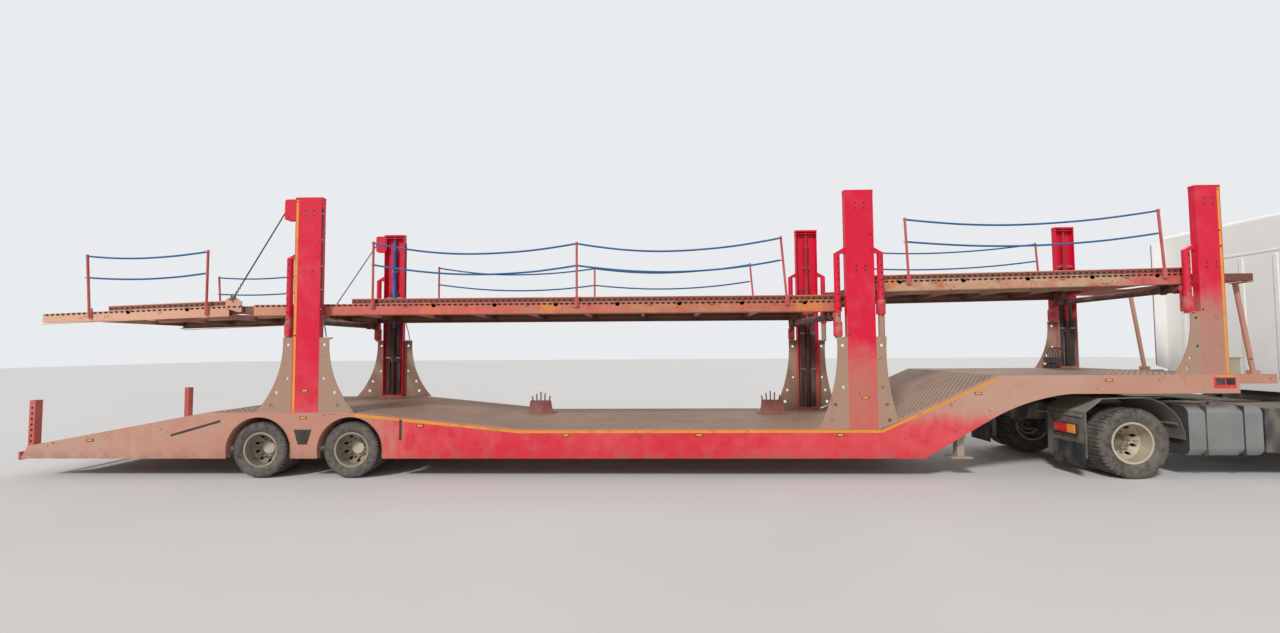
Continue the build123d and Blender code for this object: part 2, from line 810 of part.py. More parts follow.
def add_tyre(x, y, radius, width, rim_radius):
    """Tyre with bulged walls and a slightly crowned tread."""
    bead = 0.38 * width
    shoulder = 0.43 * width
    crown = 7
    with BuildSketch(wheel_plane(x, radius)) as section:
        with BuildLine():
            heel = rim_radius + 13.5
            Polyline((y - bead, heel), (y - bead, rim_radius), (y + bead, rim_radius), (y + bead, heel))
            ThreePointArc(
                (y + bead, heel), (y + width / 2, (rim_radius + radius) / 2), (y + shoulder, radius - crown)
            )
            ThreePointArc((y + shoulder, radius - crown), (y, radius), (y - shoulder, radius - crown))
            ThreePointArc(
                (y - shoulder, radius - crown), (y - width / 2, (rim_radius + radius) / 2), (y - bead, heel)
            )
        make_face()
    revolve(section.sketch, axis=Axis((x, 0, radius), (0, 1, 0)))


def add_turned(x, radius, points):
    """Turned shape about a wheel's axle, from an outline of (width, radius) points."""
    with BuildSketch(wheel_plane(x, radius)) as section:
        with BuildLine():
            Polyline(*points, close=True)
        make_face()
    revolve(section.sketch, axis=Axis((x, 0, radius), (0, 1, 0)))


def add_rim(x, y, radius, width, rim_radius):
    """Rim ring with its two flanges."""
    bead = 0.38 * width + 0.3
    flange = bead + 10
    seat = rim_radius - 0.3
    add_turned(
        x,
        radius,
        [
            (y - flange, rim_radius + 13),
            (y - bead, rim_radius + 13),
            (y - bead, seat),
            (y + bead, seat),
            (y + bead, rim_radius + 13),
            (y + flange, rim_radius + 13),
            (y + flange, rim_radius - 14),
            (y - flange, rim_radius - 14),
        ],
    )


spindle_radius = 40
spindle_gap = 1
hand_holes = 10
hand_hole_radius = 24


def add_disc(x, side, y_hub, y_ring, radius, ring_radius, hub_radius):
    """Dished wheel disc from the hub face to the rim ring, with hand holes."""
    thickness = 14
    knee = 0.72 * ring_radius
    add_turned(
        x,
        radius,
        [
            (side * y_hub, spindle_radius + spindle_gap),
            (side * (y_hub + thickness), spindle_radius + spindle_gap),
            (side * (y_hub + thickness), knee),
            (side * (y_ring + thickness), ring_radius + 2),
            (side * y_ring, ring_radius + 2),
            (side * y_hub, knee),
        ],
    )
    hole_ring = (knee + ring_radius) / 2
    y_low, y_high = sorted((side * (min(y_hub, y_ring) - 30), side * (max(y_hub, y_ring) + 30 + thickness)))
    for index in range(hand_holes):
        turn = 2 * pi * index / hand_holes
        centre = (x + hole_ring * sin(turn), radius + hole_ring * cos(turn))
        rod((centre[0], y_low, centre[1]), (centre[0], y_high, centre[1]), hand_hole_radius, mode=Mode.SUBTRACT)


def add_hub(x, side, y_from, y_to, radius, hub_radius):
    """Hub with a blind bore for the spindle, open inboard."""
    cap = 30
    add_turned(
        x,
        radius,
        [
            (side * y_from, spindle_radius + spindle_gap),
            (side * y_from, hub_radius),
            (side * y_to, 0.82 * hub_radius),
            (side * y_to, 0),
            (side * (y_to - cap), 0),
            (side * (y_to - cap), spindle_radius + spindle_gap),
        ],
    )


trailer_wheel_y = half_width - tyre_inset - trailer_tyre_width / 2
tractor_wheel_y = half_width - 10 - tractor_tyre_width / 2
twin_table = [
    ("rear", rear_axle_station, trailer_tyre_radius, trailer_tyre_width, trailer_rim_radius,
     trailer_twin_spacing, trailer_wheel_y),
    ("fore", fore_axle_station, trailer_tyre_radius, trailer_tyre_width, trailer_rim_radius,
     trailer_twin_spacing, trailer_wheel_y),
    ("drive", drive_axle_station, tractor_tyre_radius, tractor_tyre_width, tractor_rim_radius,
     tractor_twin_spacing, tractor_wheel_y),
]
hub_reach = 60
drum_depth = 215

# Twin wheels: two tyres on two dished rims that share a hub and brake drum
for axle_name, station, radius, width, rim_radius, spacing, wheel_y in twin_table:
    for side_name, side in (("left", 1), ("right", -1)):
        x_wheel = x_at(station)
        with BuildPart() as tyres:
            for y_centre in (wheel_y, wheel_y - spacing):
                add_tyre(x_wheel, side * y_centre, radius, width, rim_radius)
        save(tyres, f"{axle_name}_tyres_{side_name}")
        y_joint = wheel_y - spacing / 2
        with BuildPart() as rims:
            for y_centre in (wheel_y, wheel_y - spacing):
                add_rim(x_wheel, side * y_centre, radius, width, rim_radius)
            ring_radius = rim_radius - 14
            add_disc(x_wheel, side, y_joint, wheel_y - 55, radius, ring_radius, 0.5 * rim_radius)
            add_disc(x_wheel, side, y_joint - 14, wheel_y - spacing + 41, radius, ring_radius, 0.5 * rim_radius)
            add_hub(x_wheel, side, y_joint - drum_depth, y_joint + 14 + hub_reach, radius, 0.44 * rim_radius)
            add_turned(
                x_wheel,
                radius,
                [
                    (side * (y_joint - drum_depth), 0.60 * rim_radius),
                    (side * (y_joint - drum_depth), 0.68 * rim_radius),
                    (side * (y_joint - 14), 0.68 * rim_radius),
                    (side * (y_joint - 14), 0.60 * rim_radius),
                ],
            )
        save(rims, f"{axle_name}_rims_{side_name}")

# Front wheels: single tyres on outward-dished rims
for side_name, side in (("left", 1), ("right", -1)):
    x_wheel = x_at(steer_axle_station)
    with BuildPart() as tyre:
        add_tyre(x_wheel, side * tractor_wheel_y, tractor_tyre_radius, tractor_tyre_width, tractor_rim_radius)
    save(tyre, f"steer_tyre_{side_name}")
    with BuildPart() as rim:
        add_rim(x_wheel, side * tractor_wheel_y, tractor_tyre_radius, tractor_tyre_width, tractor_rim_radius)
        ring_radius = tractor_rim_radius - 14
        y_face = tractor_wheel_y + 70
        add_disc(x_wheel, side, y_face, tractor_wheel_y + 20, tractor_tyre_radius, ring_radius, 120)
        add_hub(x_wheel, side, tractor_wheel_y - 90, y_face + 70, tractor_tyre_radius, 118)
    save(rim, f"steer_rim_{side_name}")

# Trailer axles: beams with spindles, hangers and air springs under the long beams
axle_beam_radius = 60
spindle_reach = 20
with BuildPart() as trailer_axles:
    for station in (rear_axle_station, fore_axle_station):
        x_axle = x_at(station)
        y_spindle = trailer_wheel_y - trailer_twin_spacing / 2 + spindle_reach
        y_beam = trailer_wheel_y - trailer_twin_spacing / 2 - drum_depth - 10
        rod((x_axle, -y_beam, trailer_tyre_radius), (x_axle, y_beam, trailer_tyre_radius), axle_beam_radius)
        rod((x_axle, -y_spindle, trailer_tyre_radius), (x_axle, y_spindle, trailer_tyre_radius), spindle_radius)
        for side in (1, -1):
            y_arm = side * bogie_beam_y
            slab(
                [
                    (x_axle - 560, bogie_beam_bottom),
                    (x_axle - 420, bogie_beam_bottom),
                    (x_axle - 440, trailer_tyre_radius - 20),
                    (x_axle - 540, trailer_tyre_radius - 20),
                ],
                y_arm - 40,
                y_arm + 40,
            )
            slab(
                [
                    (x_axle - 500, trailer_tyre_radius + 10),
                    (x_axle, trailer_tyre_radius + 100),
                    (x_axle + 420, trailer_tyre_radius + 30),
                    (x_axle + 420, trailer_tyre_radius - 20),
                    (x_axle, trailer_tyre_radius + 20),
                    (x_axle - 500, trailer_tyre_radius - 50),
                ],
                y_arm - 38,
                y_arm + 38,
            )
            rod(
                (x_axle + 330, y_arm, trailer_tyre_radius + 20),
                (x_axle + 330, y_arm, bogie_beam_bottom),
                105,
            )
save(trailer_axles, "trailer_axles")

# Tractor chassis: two channel rails
x_steer = x_at(steer_axle_station)
x_drive = x_at(drive_axle_station)
x_chassis_rear = x_drive - chassis_rear_overhang
x_chassis_front = x_steer + front_overhang - 330
rail_y = rail_spacing / 2
rail_web = 10
engine_half_width = rail_y - 90
with BuildPart() as chassis:
    for side in (1, -1):
        y_web = side * rail_y
        y_low, y_high = sorted((y_web, y_web - side * rail_web))
        block(x_chassis_rear, x_chassis_front, y_low, y_high, rail_top - rail_depth, rail_top)
        y_low, y_high = sorted((y_web, y_web - side * rail_width))
        block(x_chassis_rear, x_chassis_front, y_low, y_high, rail_top - 10, rail_top)
        block(x_chassis_rear, x_chassis_front, y_low, y_high, rail_top - rail_depth, rail_top - rail_depth + 10)
save(chassis, "chassis")

# Members between the rails, the engine's mounts and the blocks that seat the cab
x_front = x_steer + front_overhang
x_cab_rear = x_front - cab_length
with BuildPart() as chassis_cross_members:
    y_inner = rail_y - rail_web
    for x_cross in (x_chassis_rear + 40, x_drive + 700, x_steer - 1450, x_chassis_front - 40):
        block(x_cross - 40, x_cross + 40, -y_inner, y_inner, rail_top - 220, rail_top - 30)
    for x_mount in (x_steer - 300, x_steer + 450):
        for side in (1, -1):
            y_low, y_high = sorted((side * engine_half_width, side * y_inner))
            block(x_mount - 40, x_mount + 40, y_low, y_high, rail_top - 120, rail_top - 80)
    for x_mount in (x_cab_rear + 120, x_front - 420):
        block(x_mount - 60, x_mount + 60, -rail_y - 40, rail_y + 40, rail_top, cab_floor)
save(chassis_cross_members, "chassis_cross_members")

# Fifth wheel: plate with a slot that leads to the kingpin, on its pedestal
x_kingpin = x_at(kingpin_station)
plate_top = neck_bottom - skid_thickness - coupling_gap
plate_thickness = 40
plate_radius = 480
with BuildPart() as fifth_wheel:
    with BuildSketch(Plane.XY.offset(plate_top - plate_thickness)) as plate_face:
        with Locations((x_kingpin, 0)):
            Circle(plate_radius)
        with Locations((x_kingpin - 330, 0)):
            Rectangle(420, 860)
        with BuildLine():
            Polyline(
                (x_kingpin, kingpin_radius + kingpin_gap),
                (x_kingpin - 560, 170),
                (x_kingpin - 560, -170),
                (x_kingpin, -kingpin_radius - kingpin_gap),
                close=True,
            )
        make_face(mode=Mode.SUBTRACT)
        with Locations((x_kingpin, 0)):
            Circle(kingpin_radius + kingpin_gap, mode=Mode.SUBTRACT)
    extrude(plate_face.sketch, amount=plate_thickness)
    for side in (1, -1):
        slab(
            [
                (x_kingpin - 190, rail_top + 30),
                (x_kingpin + 190, rail_top + 30),
                (x_kingpin + 70, plate_top - plate_thickness / 2),
                (x_kingpin - 70, plate_top - plate_thickness / 2),
            ],
            side * 330 - 45,
            side * 330 + 45,
        )
    block(x_kingpin - 330, x_kingpin + 330, -rail_y, rail_y, rail_top, rail_top + 30)
save(fifth_wheel, "fifth_wheel")

# Tractor axles: the driven rear axle with its bowl, and the front beam between the knuckles
knuckle_y = tractor_wheel_y - 230
steer_pin_radius = 22
steer_eye_radius = 36
spring_y = 400
gearbox_reach = 1250
with BuildPart() as tractor_axles:
    y_spindle = tractor_wheel_y - tractor_twin_spacing / 2 + spindle_reach
    y_beam = tractor_wheel_y - tractor_twin_spacing / 2 - drum_depth - 10
    rod((x_drive, -y_beam, tractor_tyre_radius), (x_drive, y_beam, tractor_tyre_radius), 75)
    rod((x_drive, -y_spindle, tractor_tyre_radius), (x_drive, y_spindle, tractor_tyre_radius), spindle_radius)
    with Locations((x_drive, 0, tractor_tyre_radius)):
        Sphere(205)
    rod((x_drive, 0, tractor_tyre_radius), (x_drive + 330, 0, tractor_tyre_radius + 25), 95)
    rod((x_drive + 330, 0, tractor_tyre_radius + 25), (x_steer - gearbox_reach - 6, 0, 700), 50)
    for side in (1, -1):
        y_arm = side * (rail_y - rail_width / 2)
        block(x_drive - 480, x_drive + 480, y_arm - 40, y_arm + 40, tractor_tyre_radius + 60, tractor_tyre_radius + 110)
        for reach in (-400, 400):
            rod(
                (x_drive + reach, y_arm, tractor_tyre_radius + 100),
                (x_drive + reach, y_arm, rail_top - rail_depth),
                105,
            )
    block(
        x_steer - 50,
        x_steer + 50,
        -knuckle_y + 130,
        knuckle_y - 130,
        tractor_tyre_radius - 110,
        tractor_tyre_radius - 20,
    )
    for side in (1, -1):
        y_pin = side * knuckle_y
        y_low, y_high = sorted((side * (knuckle_y - 190), y_pin))
        eye_foot, eye_head = [(x_steer, y_pin, tractor_tyre_radius + reach) for reach in (-55, 55)]
        block(x_steer - steer_eye_radius, x_steer + steer_eye_radius, y_low, y_high, eye_foot[2], eye_head[2])
        rod(eye_foot, eye_head, steer_eye_radius)
        rod(eye_foot, eye_head, steer_pin_radius + 1, mode=Mode.SUBTRACT)
        y_low, y_high = side * spring_y - 38, side * spring_y + 38
        block(x_steer - 650, x_steer + 650, y_low, y_high, tractor_tyre_radius - 20, tractor_tyre_radius + 30)
        for reach in (-610, 610):
            x_hanger = x_steer + reach
            block(x_hanger - 40, x_hanger + 40, y_low, y_high, tractor_tyre_radius + 30, rail_top - rail_depth)
save(tractor_axles, "tractor_axles")

# Steering knuckles: a fork on the front axle's end, its pin and the wheel's spindle
for side_name, side in (("left", 1), ("right", -1)):
    with BuildPart() as knuckle:
        y_pin = side * knuckle_y
        y_back = side * (knuckle_y + steer_eye_radius + 6)
        rod((x_steer, y_pin, tractor_tyre_radius - 100), (x_steer, y_pin, tractor_tyre_radius + 100), steer_pin_radius)
        y_low, y_high = sorted((side * (knuckle_y - 40), side * (knuckle_y + 80)))
        for z_ear in (tractor_tyre_radius - 82, tractor_tyre_radius + 82):
            block(x_steer - 45, x_steer + 45, y_low, y_high, z_ear - 20, z_ear + 20)
        y_low, y_high = sorted((y_back, side * (knuckle_y + 80)))
        block(x_steer - 60, x_steer + 60, y_low, y_high, tractor_tyre_radius - 102, tractor_tyre_radius + 102)
        rod(
            (x_steer, side * (knuckle_y + 60), tractor_tyre_radius),
            (x_steer, side * (tractor_wheel_y + 60), tractor_tyre_radius),
            spindle_radius,
        )
    save(knuckle, f"knuckle_{side_name}")

# Tractor mudguards over the drive wheels, with an upright flap behind
guard_top = 1150
guard_thickness = 8
guard_rear = 660
guard_bar = 660
with BuildPart() as mudguards:
    guard_inner_y = tractor_wheel_y - tractor_twin_spacing - tractor_tyre_width / 2 - 10
    with BuildSketch(side_plane(half_width - 10)) as guard_face:
        with BuildLine():
            front_arc = ThreePointArc(
                (x_drive + 700, 560), (x_drive + 545, guard_top - 190), (x_drive + 60, guard_top)
            )
            rear_top = Polyline(
                (x_drive + 60, guard_top),
                (x_drive - 420, guard_top - 15),
                (x_drive - guard_rear, guard_top - 200),
                (x_drive - guard_rear - 5, 290),
            )
            offset(amount=guard_thickness, side=Side.RIGHT)
        make_face()
    extrude(guard_face.sketch, amount=half_width - 10 - guard_inner_y)
    for x_bar, z_bar in ((x_drive + guard_bar, 770), (x_drive - guard_rear - 10, 880)):
        rod((x_bar, rail_y, z_bar), (x_bar, half_width - 60, z_bar), 20)
    mirror(about=Plane.XZ)
save(mudguards, "mudguards")

# Fuel tank and side lockers beside the rails
tank_length = 1020
tank_bottom = 320
tank_top = 1040
tank_rear = x_drive + 760
with BuildPart() as fuel_tank:
    with BuildSketch(Plane.YZ.offset(tank_rear)) as tank_face:
        with Locations((-(half_width - 15 + rail_y + 60) / 2, (tank_bottom + tank_top) / 2)):
            RectangleRounded(half_width - 15 - rail_y - 60, tank_top - tank_bottom, 120)
    extrude(tank_face.sketch, amount=tank_length)
    for x_strap in (tank_rear + 250, tank_rear + tank_length - 250):
        block(x_strap - 40, x_strap + 40, -rail_y - 80, -rail_y, tank_bottom + 60, rail_top - 60)
save(fuel_tank, "fuel_tank")

with BuildPart() as side_lockers:
    locker_front = x_steer - 660
    y_low, y_high = rail_y + 60, half_width - 20
    block(tank_rear, tank_rear + 900, y_low, y_high, tank_bottom + 40, tank_top - 60)
    block(tank_rear + 940, locker_front, y_low + 100, y_high, tank_bottom + 60, tank_top - 40)
    block(tank_rear + tank_length + 40, locker_front, -y_high, -y_low, tank_bottom + 60, tank_top - 40)
    for side, x_bracket in ((-1, locker_front - 300), (1, locker_front - 300), (1, tank_rear + 300)):
        y_from, y_to = sorted((side * rail_y, side * (rail_y + 160)))
        block(x_bracket - 40, x_bracket + 40, y_from, y_to, rail_top - 200, rail_top - 60)
save(side_lockers, "side_lockers")

# Engine block between the rails under the cab
with BuildPart() as engine:
    block(x_steer - 550, x_steer + 700, -engine_half_width, engine_half_width, 620, 1120)
    block(x_steer - gearbox_reach, x_steer - 550, -200, 200, 560, 940)
save(engine, "engine")

# Cab: outer form, from its side view and its plan
door_taper = 70
screen_bottom = 2050
screen_top = 3060


def cab_form(inset):
    """The cab's whole form, drawn in by an inset on every side."""
    with BuildPart() as form:
        with BuildSketch(side_plane(cab_half_width)) as side_view:
            with BuildLine():
                Polyline(
                    (x_cab_rear, cab_floor),
                    (x_cab_rear, cab_roof - 120),
                    (x_front - 1150, cab_roof),
                    (x_front - 520, cab_roof - 130),
                    (x_front - 230, screen_top + 60),
                    (x_front - 60, screen_bottom - 60),
                    (x_front, 1500),
                    (x_front - 20, cab_floor),
                    close=True,
                )
            make_face()
            upper = side_view.vertices().group_by(Axis.Y)[1:]
            fillet([corner for group in upper for corner in group], 60)
            if inset:
                offset(amount=-inset, kind=Kind.INTERSECTION)
        extrude(side_view.sketch, amount=2 * cab_half_width)
        with BuildSketch(Plane.XY) as plan_view:
            with BuildLine():
                Polyline(
                    (x_cab_rear, cab_half_width),
                    (x_front - 700, cab_half_width),
                    (x_front, cab_half_width - door_taper),
                    (x_front, -cab_half_width + door_taper),
                    (x_front - 700, -cab_half_width),
                    (x_cab_rear, -cab_half_width),
                    close=True,
                )
            make_face()
            fillet(plan_view.vertices().group_by(Axis.X)[-1], cab_corner)
            if inset:
                offset(amount=-inset, kind=Kind.INTERSECTION)
        extrude(plan_view.sketch, amount=cab_roof + 100, mode=Mode.INTERSECT)
    return form.part


cab_outer = cab_form(0)
cab_inner = cab_form(cab_wall)
glass_inner = cab_form(12)

door_rear = x_front - 1420
door_front = x_front - 330
door_bottom = 1230
door_top = 3080
arch_clear = 600


def door_outline(gap):
    """Side outline of the door opening, drawn in by a gap."""
    return [
        (door_rear + gap, door_bottom + gap),
        (door_rear + gap, door_top - gap),
        (door_front - 110 - gap, door_top - gap),
        (door_front - gap, screen_bottom - 60),
        (door_front - gap, door_bottom + gap),
    ]


def window_outline(gap):
    """Side outline of the door's window, drawn in by a gap."""
    return [
        (door_rear + 130 + gap, screen_bottom + 60 + gap),
        (door_rear + 130 + gap, door_top - 90 - gap),
        (door_front - 200 - gap, door_top - 90 - gap),
        (door_front - 110 - gap, screen_bottom + 60 + gap),
    ]


hinge_x = door_front - panel_gap
hinge_skin = cab_half_width - door_taper * (hinge_x - x_front + 700) / 700
door_pin_y = hinge_skin + 8
door_pin_radius = 9
door_pin_gap = 0.4
door_pin_heights = (1500, 2000)
screen_half = cab_half_width - 190
grille_half_width = 680
grille_bottom = 1300
grille_slot = 42
grille_pitch = 98
grille_slots = 6
fairing_reach = 210
mirror_x = x_front - 235
mirror_inner = 1165
mirror_outer = 1248


def face_x(z):
    """Place of the cab's front face at a height."""
    if z < 1500:
        return x_front - 20 * (1500 - z) / (1500 - cab_floor)
    return x_front - 60 * (z - 1500) / (screen_bottom - 60 - 1500)


tilt_x = x_front - 62
tilt_z = cab_floor + 22
tilt_pin_radius = 14
tilt_pin_gap = 0.4
tilt_lug_radius = 30
tilt_lug_y = (335, 365)
tilt_slot_y = (305, 395)
with BuildPart() as cab_shell:
    add(cab_outer)
    add(cab_inner, mode=Mode.SUBTRACT)
    for side in (1, -1):
        lug_inner, lug_outer = [(tilt_x, side * reach, tilt_z) for reach in tilt_lug_y]
        slot_inner, slot_outer = [(tilt_x, side * reach, tilt_z) for reach in tilt_slot_y]
        y_low, y_high = sorted((slot_inner[1], slot_outer[1]))
        block(tilt_x - 80, tilt_x + 36, y_low, y_high, tilt_z - 40, tilt_z + 15, mode=Mode.SUBTRACT)
        rod(slot_inner, slot_outer, tilt_lug_radius + 1, mode=Mode.SUBTRACT)
        rod(lug_inner, lug_outer, tilt_lug_radius)
        y_low, y_high = sorted((lug_inner[1], lug_outer[1]))
        block(tilt_x - 90, tilt_x + 40, y_low, y_high, cab_floor, tilt_z + 15)
        rod(lug_inner, lug_outer, tilt_pin_radius + tilt_pin_gap, mode=Mode.SUBTRACT)
    block(x_front - 420, x_front + 10, -screen_half, screen_half, screen_bottom, screen_top, mode=Mode.SUBTRACT)
    for side in (1, -1):
        y_low, y_high = sorted((side * (cab_half_width - 120), side * (cab_half_width + 10)))
        slab(door_outline(0), y_low, y_high, mode=Mode.SUBTRACT)
        for z_pin in door_pin_heights:
            y_low, y_high = sorted((side * (door_pin_y - 26), side * (door_pin_y + 40)))
            block(hinge_x, hinge_x + 26, y_low, y_high, z_pin - 48, z_pin + 48, mode=Mode.SUBTRACT)
            rod((hinge_x, side * door_pin_y, z_pin - 60), (hinge_x, side * door_pin_y, z_pin + 60), door_pin_radius)
            y_low, y_high = sorted((side * (door_pin_y - 45), side * (door_pin_y + 12)))
            for z_ear in (z_pin - 60, z_pin + 48):
                block(hinge_x - 12, hinge_x + 50, y_low, y_high, z_ear, z_ear + 12)
    for index in range(grille_slots):
        z_slot = grille_bottom + index * grille_pitch
        slab(
            [
                (face_x(z_slot) - 22, z_slot),
                (face_x(z_slot) + 20, z_slot),
                (face_x(z_slot + grille_slot) + 20, z_slot + grille_slot),
                (face_x(z_slot + grille_slot) - 22, z_slot + grille_slot),
            ],
            -grille_half_width,
            grille_half_width,
            mode=Mode.SUBTRACT,
        )
    slab(
        [
            (x_front - 290, screen_top + 75),
            (x_front - 110, screen_top + 25),
            (x_front - 95, screen_top - 15),
            (x_front - 290, screen_top + 45),
        ],
        -screen_half + 60,
        screen_half - 60,
    )
    for side in (1, -1):
        y_low, y_high = sorted((side * (cab_half_width - 22), side * (cab_half_width - 4)))
        slab(
            [
                (x_cab_rear + 30, 1450),
                (x_cab_rear - fairing_reach, 1520),
                (x_cab_rear - fairing_reach, cab_roof - 260),
                (x_cab_rear + 30, cab_roof - 160),
            ],
            y_low,
            y_high,
        )
        y_low, y_high = sorted((side * mirror_inner, side * mirror_outer))
        for z_low, z_high in ((2320, 2780), (2080, 2270)):
            block(mirror_x - 45, mirror_x + 45, y_low, y_high, z_low, z_high)
        y_low, y_high = sorted((side * (mirror_inner - 130), side * (mirror_inner + 20)))
        for z_arm in (2250, 2740):
            block(mirror_x - 12, mirror_x + 12, y_low, y_high, z_arm, z_arm + 24)
        y_low, y_high = sorted((side * (mirror_inner + 20), side * (mirror_inner + 44)))
        block(mirror_x - 12, mirror_x + 12, y_low, y_high, 2250, 2764)
save(cab_shell, "cab_shell")

with BuildPart() as windscreen:
    add(cab_outer)
    add(glass_inner, mode=Mode.SUBTRACT)
    block(x_front - 420, x_front + 10, -screen_half + 0.3, screen_half - 0.3, screen_bottom + 0.3, screen_top - 0.3,
          mode=Mode.INTERSECT)
save(windscreen, "windscreen")

for side_name, side in (("left", 1), ("right", -1)):
    y_low, y_high = sorted((side * (cab_half_width - 120), side * (cab_half_width + 10)))
    with BuildPart() as door:
        add(cab_outer)
        add(cab_inner, mode=Mode.SUBTRACT)
        slab(door_outline(panel_gap), y_low, y_high, mode=Mode.INTERSECT)
        slab(window_outline(0), y_low, y_high, mode=Mode.SUBTRACT)
        y_recess = sorted((side * (door_pin_y - 50), side * (door_pin_y + 20)))
        y_strap = sorted((side * (door_pin_y - 20), side * (door_pin_y + 4)))
        for z_pin in door_pin_heights:
            block(hinge_x - 20, hinge_x + 20, *y_recess, z_pin - 66, z_pin - 42, mode=Mode.SUBTRACT)
            block(hinge_x - 20, hinge_x + 20, *y_recess, z_pin + 42, z_pin + 66, mode=Mode.SUBTRACT)
            block(hinge_x - 90, hinge_x, *y_strap, z_pin - 40, z_pin + 40)
            foot, head = (hinge_x, side * door_pin_y, z_pin - 40), (hinge_x, side * door_pin_y, z_pin + 40)
            rod(foot, head, door_pin_radius + 8)
            rod((hinge_x, side * door_pin_y, z_pin - 70), (hinge_x, side * door_pin_y, z_pin + 70),
                door_pin_radius + door_pin_gap, mode=Mode.SUBTRACT)
    save(door, f"door_{side_name}")
    with BuildPart() as door_glass:
        add(cab_outer)
        add(glass_inner, mode=Mode.SUBTRACT)
        slab(window_outline(0.3), y_low, y_high, mode=Mode.INTERSECT)
    save(door_glass, f"door_glass_{side_name}")

# Bumper with the steps by the wheels, and the cheeks that carry the tilting cab's pins
bumper_bottom = 330
bumper_gap = 35
bumper_wall = 70
cheek_foot = 940
lamp_pocket = 55
step_depth = 150
with BuildPart() as bumper:
    with BuildSketch(Plane.XY.offset(bumper_bottom)) as bumper_plan:
        with BuildLine():
            Polyline(
                (x_front - 330, half_width - 10),
                (x_front, half_width - 90),
                (x_front, -half_width + 90),
                (x_front - 330, -half_width + 10),
                close=True,
            )
        make_face()
        fillet(bumper_plan.vertices().group_by(Axis.X)[-1], 150)
    extrude(bumper_plan.sketch, amount=cab_floor - bumper_bottom - bumper_gap)
    block(
        x_front - 340,
        x_front - bumper_wall,
        -half_width + 150,
        half_width - 150,
        bumper_bottom + 60,
        cab_floor,
        mode=Mode.SUBTRACT,
    )
    for side in (1, -1):
        y_low, y_high = sorted((side * 1010, side * (half_width - 10)))
        block(x_steer + arch_clear + 20, x_front - 330, y_low, y_high, bumper_bottom + 20, cab_floor - bumper_gap)
    for z_slot in (410, 500):
        block(x_front - 40, x_front + 10, -560, 560, z_slot, z_slot + 50, mode=Mode.SUBTRACT)
    for side in (1, -1):
        y_low, y_high = sorted((side * 760, side * 1040))
        block(x_front - lamp_pocket, x_front + 10, y_low, y_high, 600, 800, mode=Mode.SUBTRACT)
        y_low, y_high = sorted((side * (half_width - step_depth), side * half_width))
        for z_step in (430, 680, 900):
            block(x_front - 640, x_front - 380, y_low, y_high, z_step, z_step + 130, mode=Mode.SUBTRACT)
    for side in (1, -1):
        y_low, y_high = sorted((side * rail_y, side * (rail_y - rail_width)))
        block(x_chassis_front, x_front - bumper_wall, y_low, y_high, 760, cheek_foot)
        for cheek in ((tilt_slot_y[0] + 6, tilt_lug_y[0] - 6), (tilt_lug_y[1] + 6, tilt_slot_y[1] - 6)):
            y_low, y_high = sorted((side * cheek[0], side * cheek[1]))
            slab(
                [
                    (x_front - 320, cheek_foot),
                    (x_front - 230, cheek_foot),
                    (tilt_x + 15, tilt_z - 16),
                    (tilt_x - 15, tilt_z + 16),
                ],
                y_low,
                y_high,
            )
            rod((tilt_x, y_low, tilt_z), (tilt_x, y_high, tilt_z), 22)
        pin_inner, pin_outer = [(tilt_x, side * reach, tilt_z) for reach in (tilt_slot_y[0] + 6, tilt_slot_y[1] - 6)]
        rod(pin_inner, pin_outer, tilt_pin_radius)
save(bumper, "bumper")

# Cab interior: seats, dashboard and a bunk
seat_y = 620
wheel_radius = 225
x_seat = x_front - 1150
x_wall = x_cab_rear + cab_wall
z_floor = cab_floor + cab_wall
dash_top = screen_bottom - 60
with BuildPart() as cab_interior:
    for side in (1, -1):
        y_seat = side * seat_y
        block(x_seat - 120, x_seat + 120, y_seat - 120, y_seat + 120, z_floor, z_floor + 330)
        block(x_seat - 230, x_seat + 250, y_seat - 240, y_seat + 240, z_floor + 330, z_floor + 450)
        slab(
            [
                (x_seat - 230, z_floor + 400),
                (x_seat - 130, z_floor + 400),
                (x_seat - 220, z_floor + 1150),
                (x_seat - 320, z_floor + 1150),
            ],
            y_seat - 230,
            y_seat + 230,
        )
        y_low, y_high = sorted((side * 940, side * 900))
        block(x_front - 480, x_front - 340, y_low, y_high, z_floor, dash_top - 200)
    column_foot = (x_front - 560, seat_y, dash_top - 120)
    column_head = (x_front - 690, seat_y, dash_top + 30)
    rod(column_foot, column_head, 28)
    lean = Plane(origin=column_head, z_dir=Vector(*column_head) - Vector(*column_foot))
    with Locations(lean):
        Torus(wheel_radius, 16)
        Box(2 * wheel_radius, 40, 16)
    block(x_front - 600, x_front - 300, -1000, 1000, dash_top - 200, dash_top)
    block(x_front - 600, x_front - 320, -180, 180, z_floor, dash_top - 200)
    block(x_wall, x_wall + 480, -1100, 1100, z_floor + 500, z_floor + 620)
    for side in (1, -1):
        y_low, y_high = sorted((side * 500, side * 1000))
        block(x_wall, x_wall + 40, y_low, y_high, z_floor, z_floor + 500)
save(cab_interior, "cab_interior")
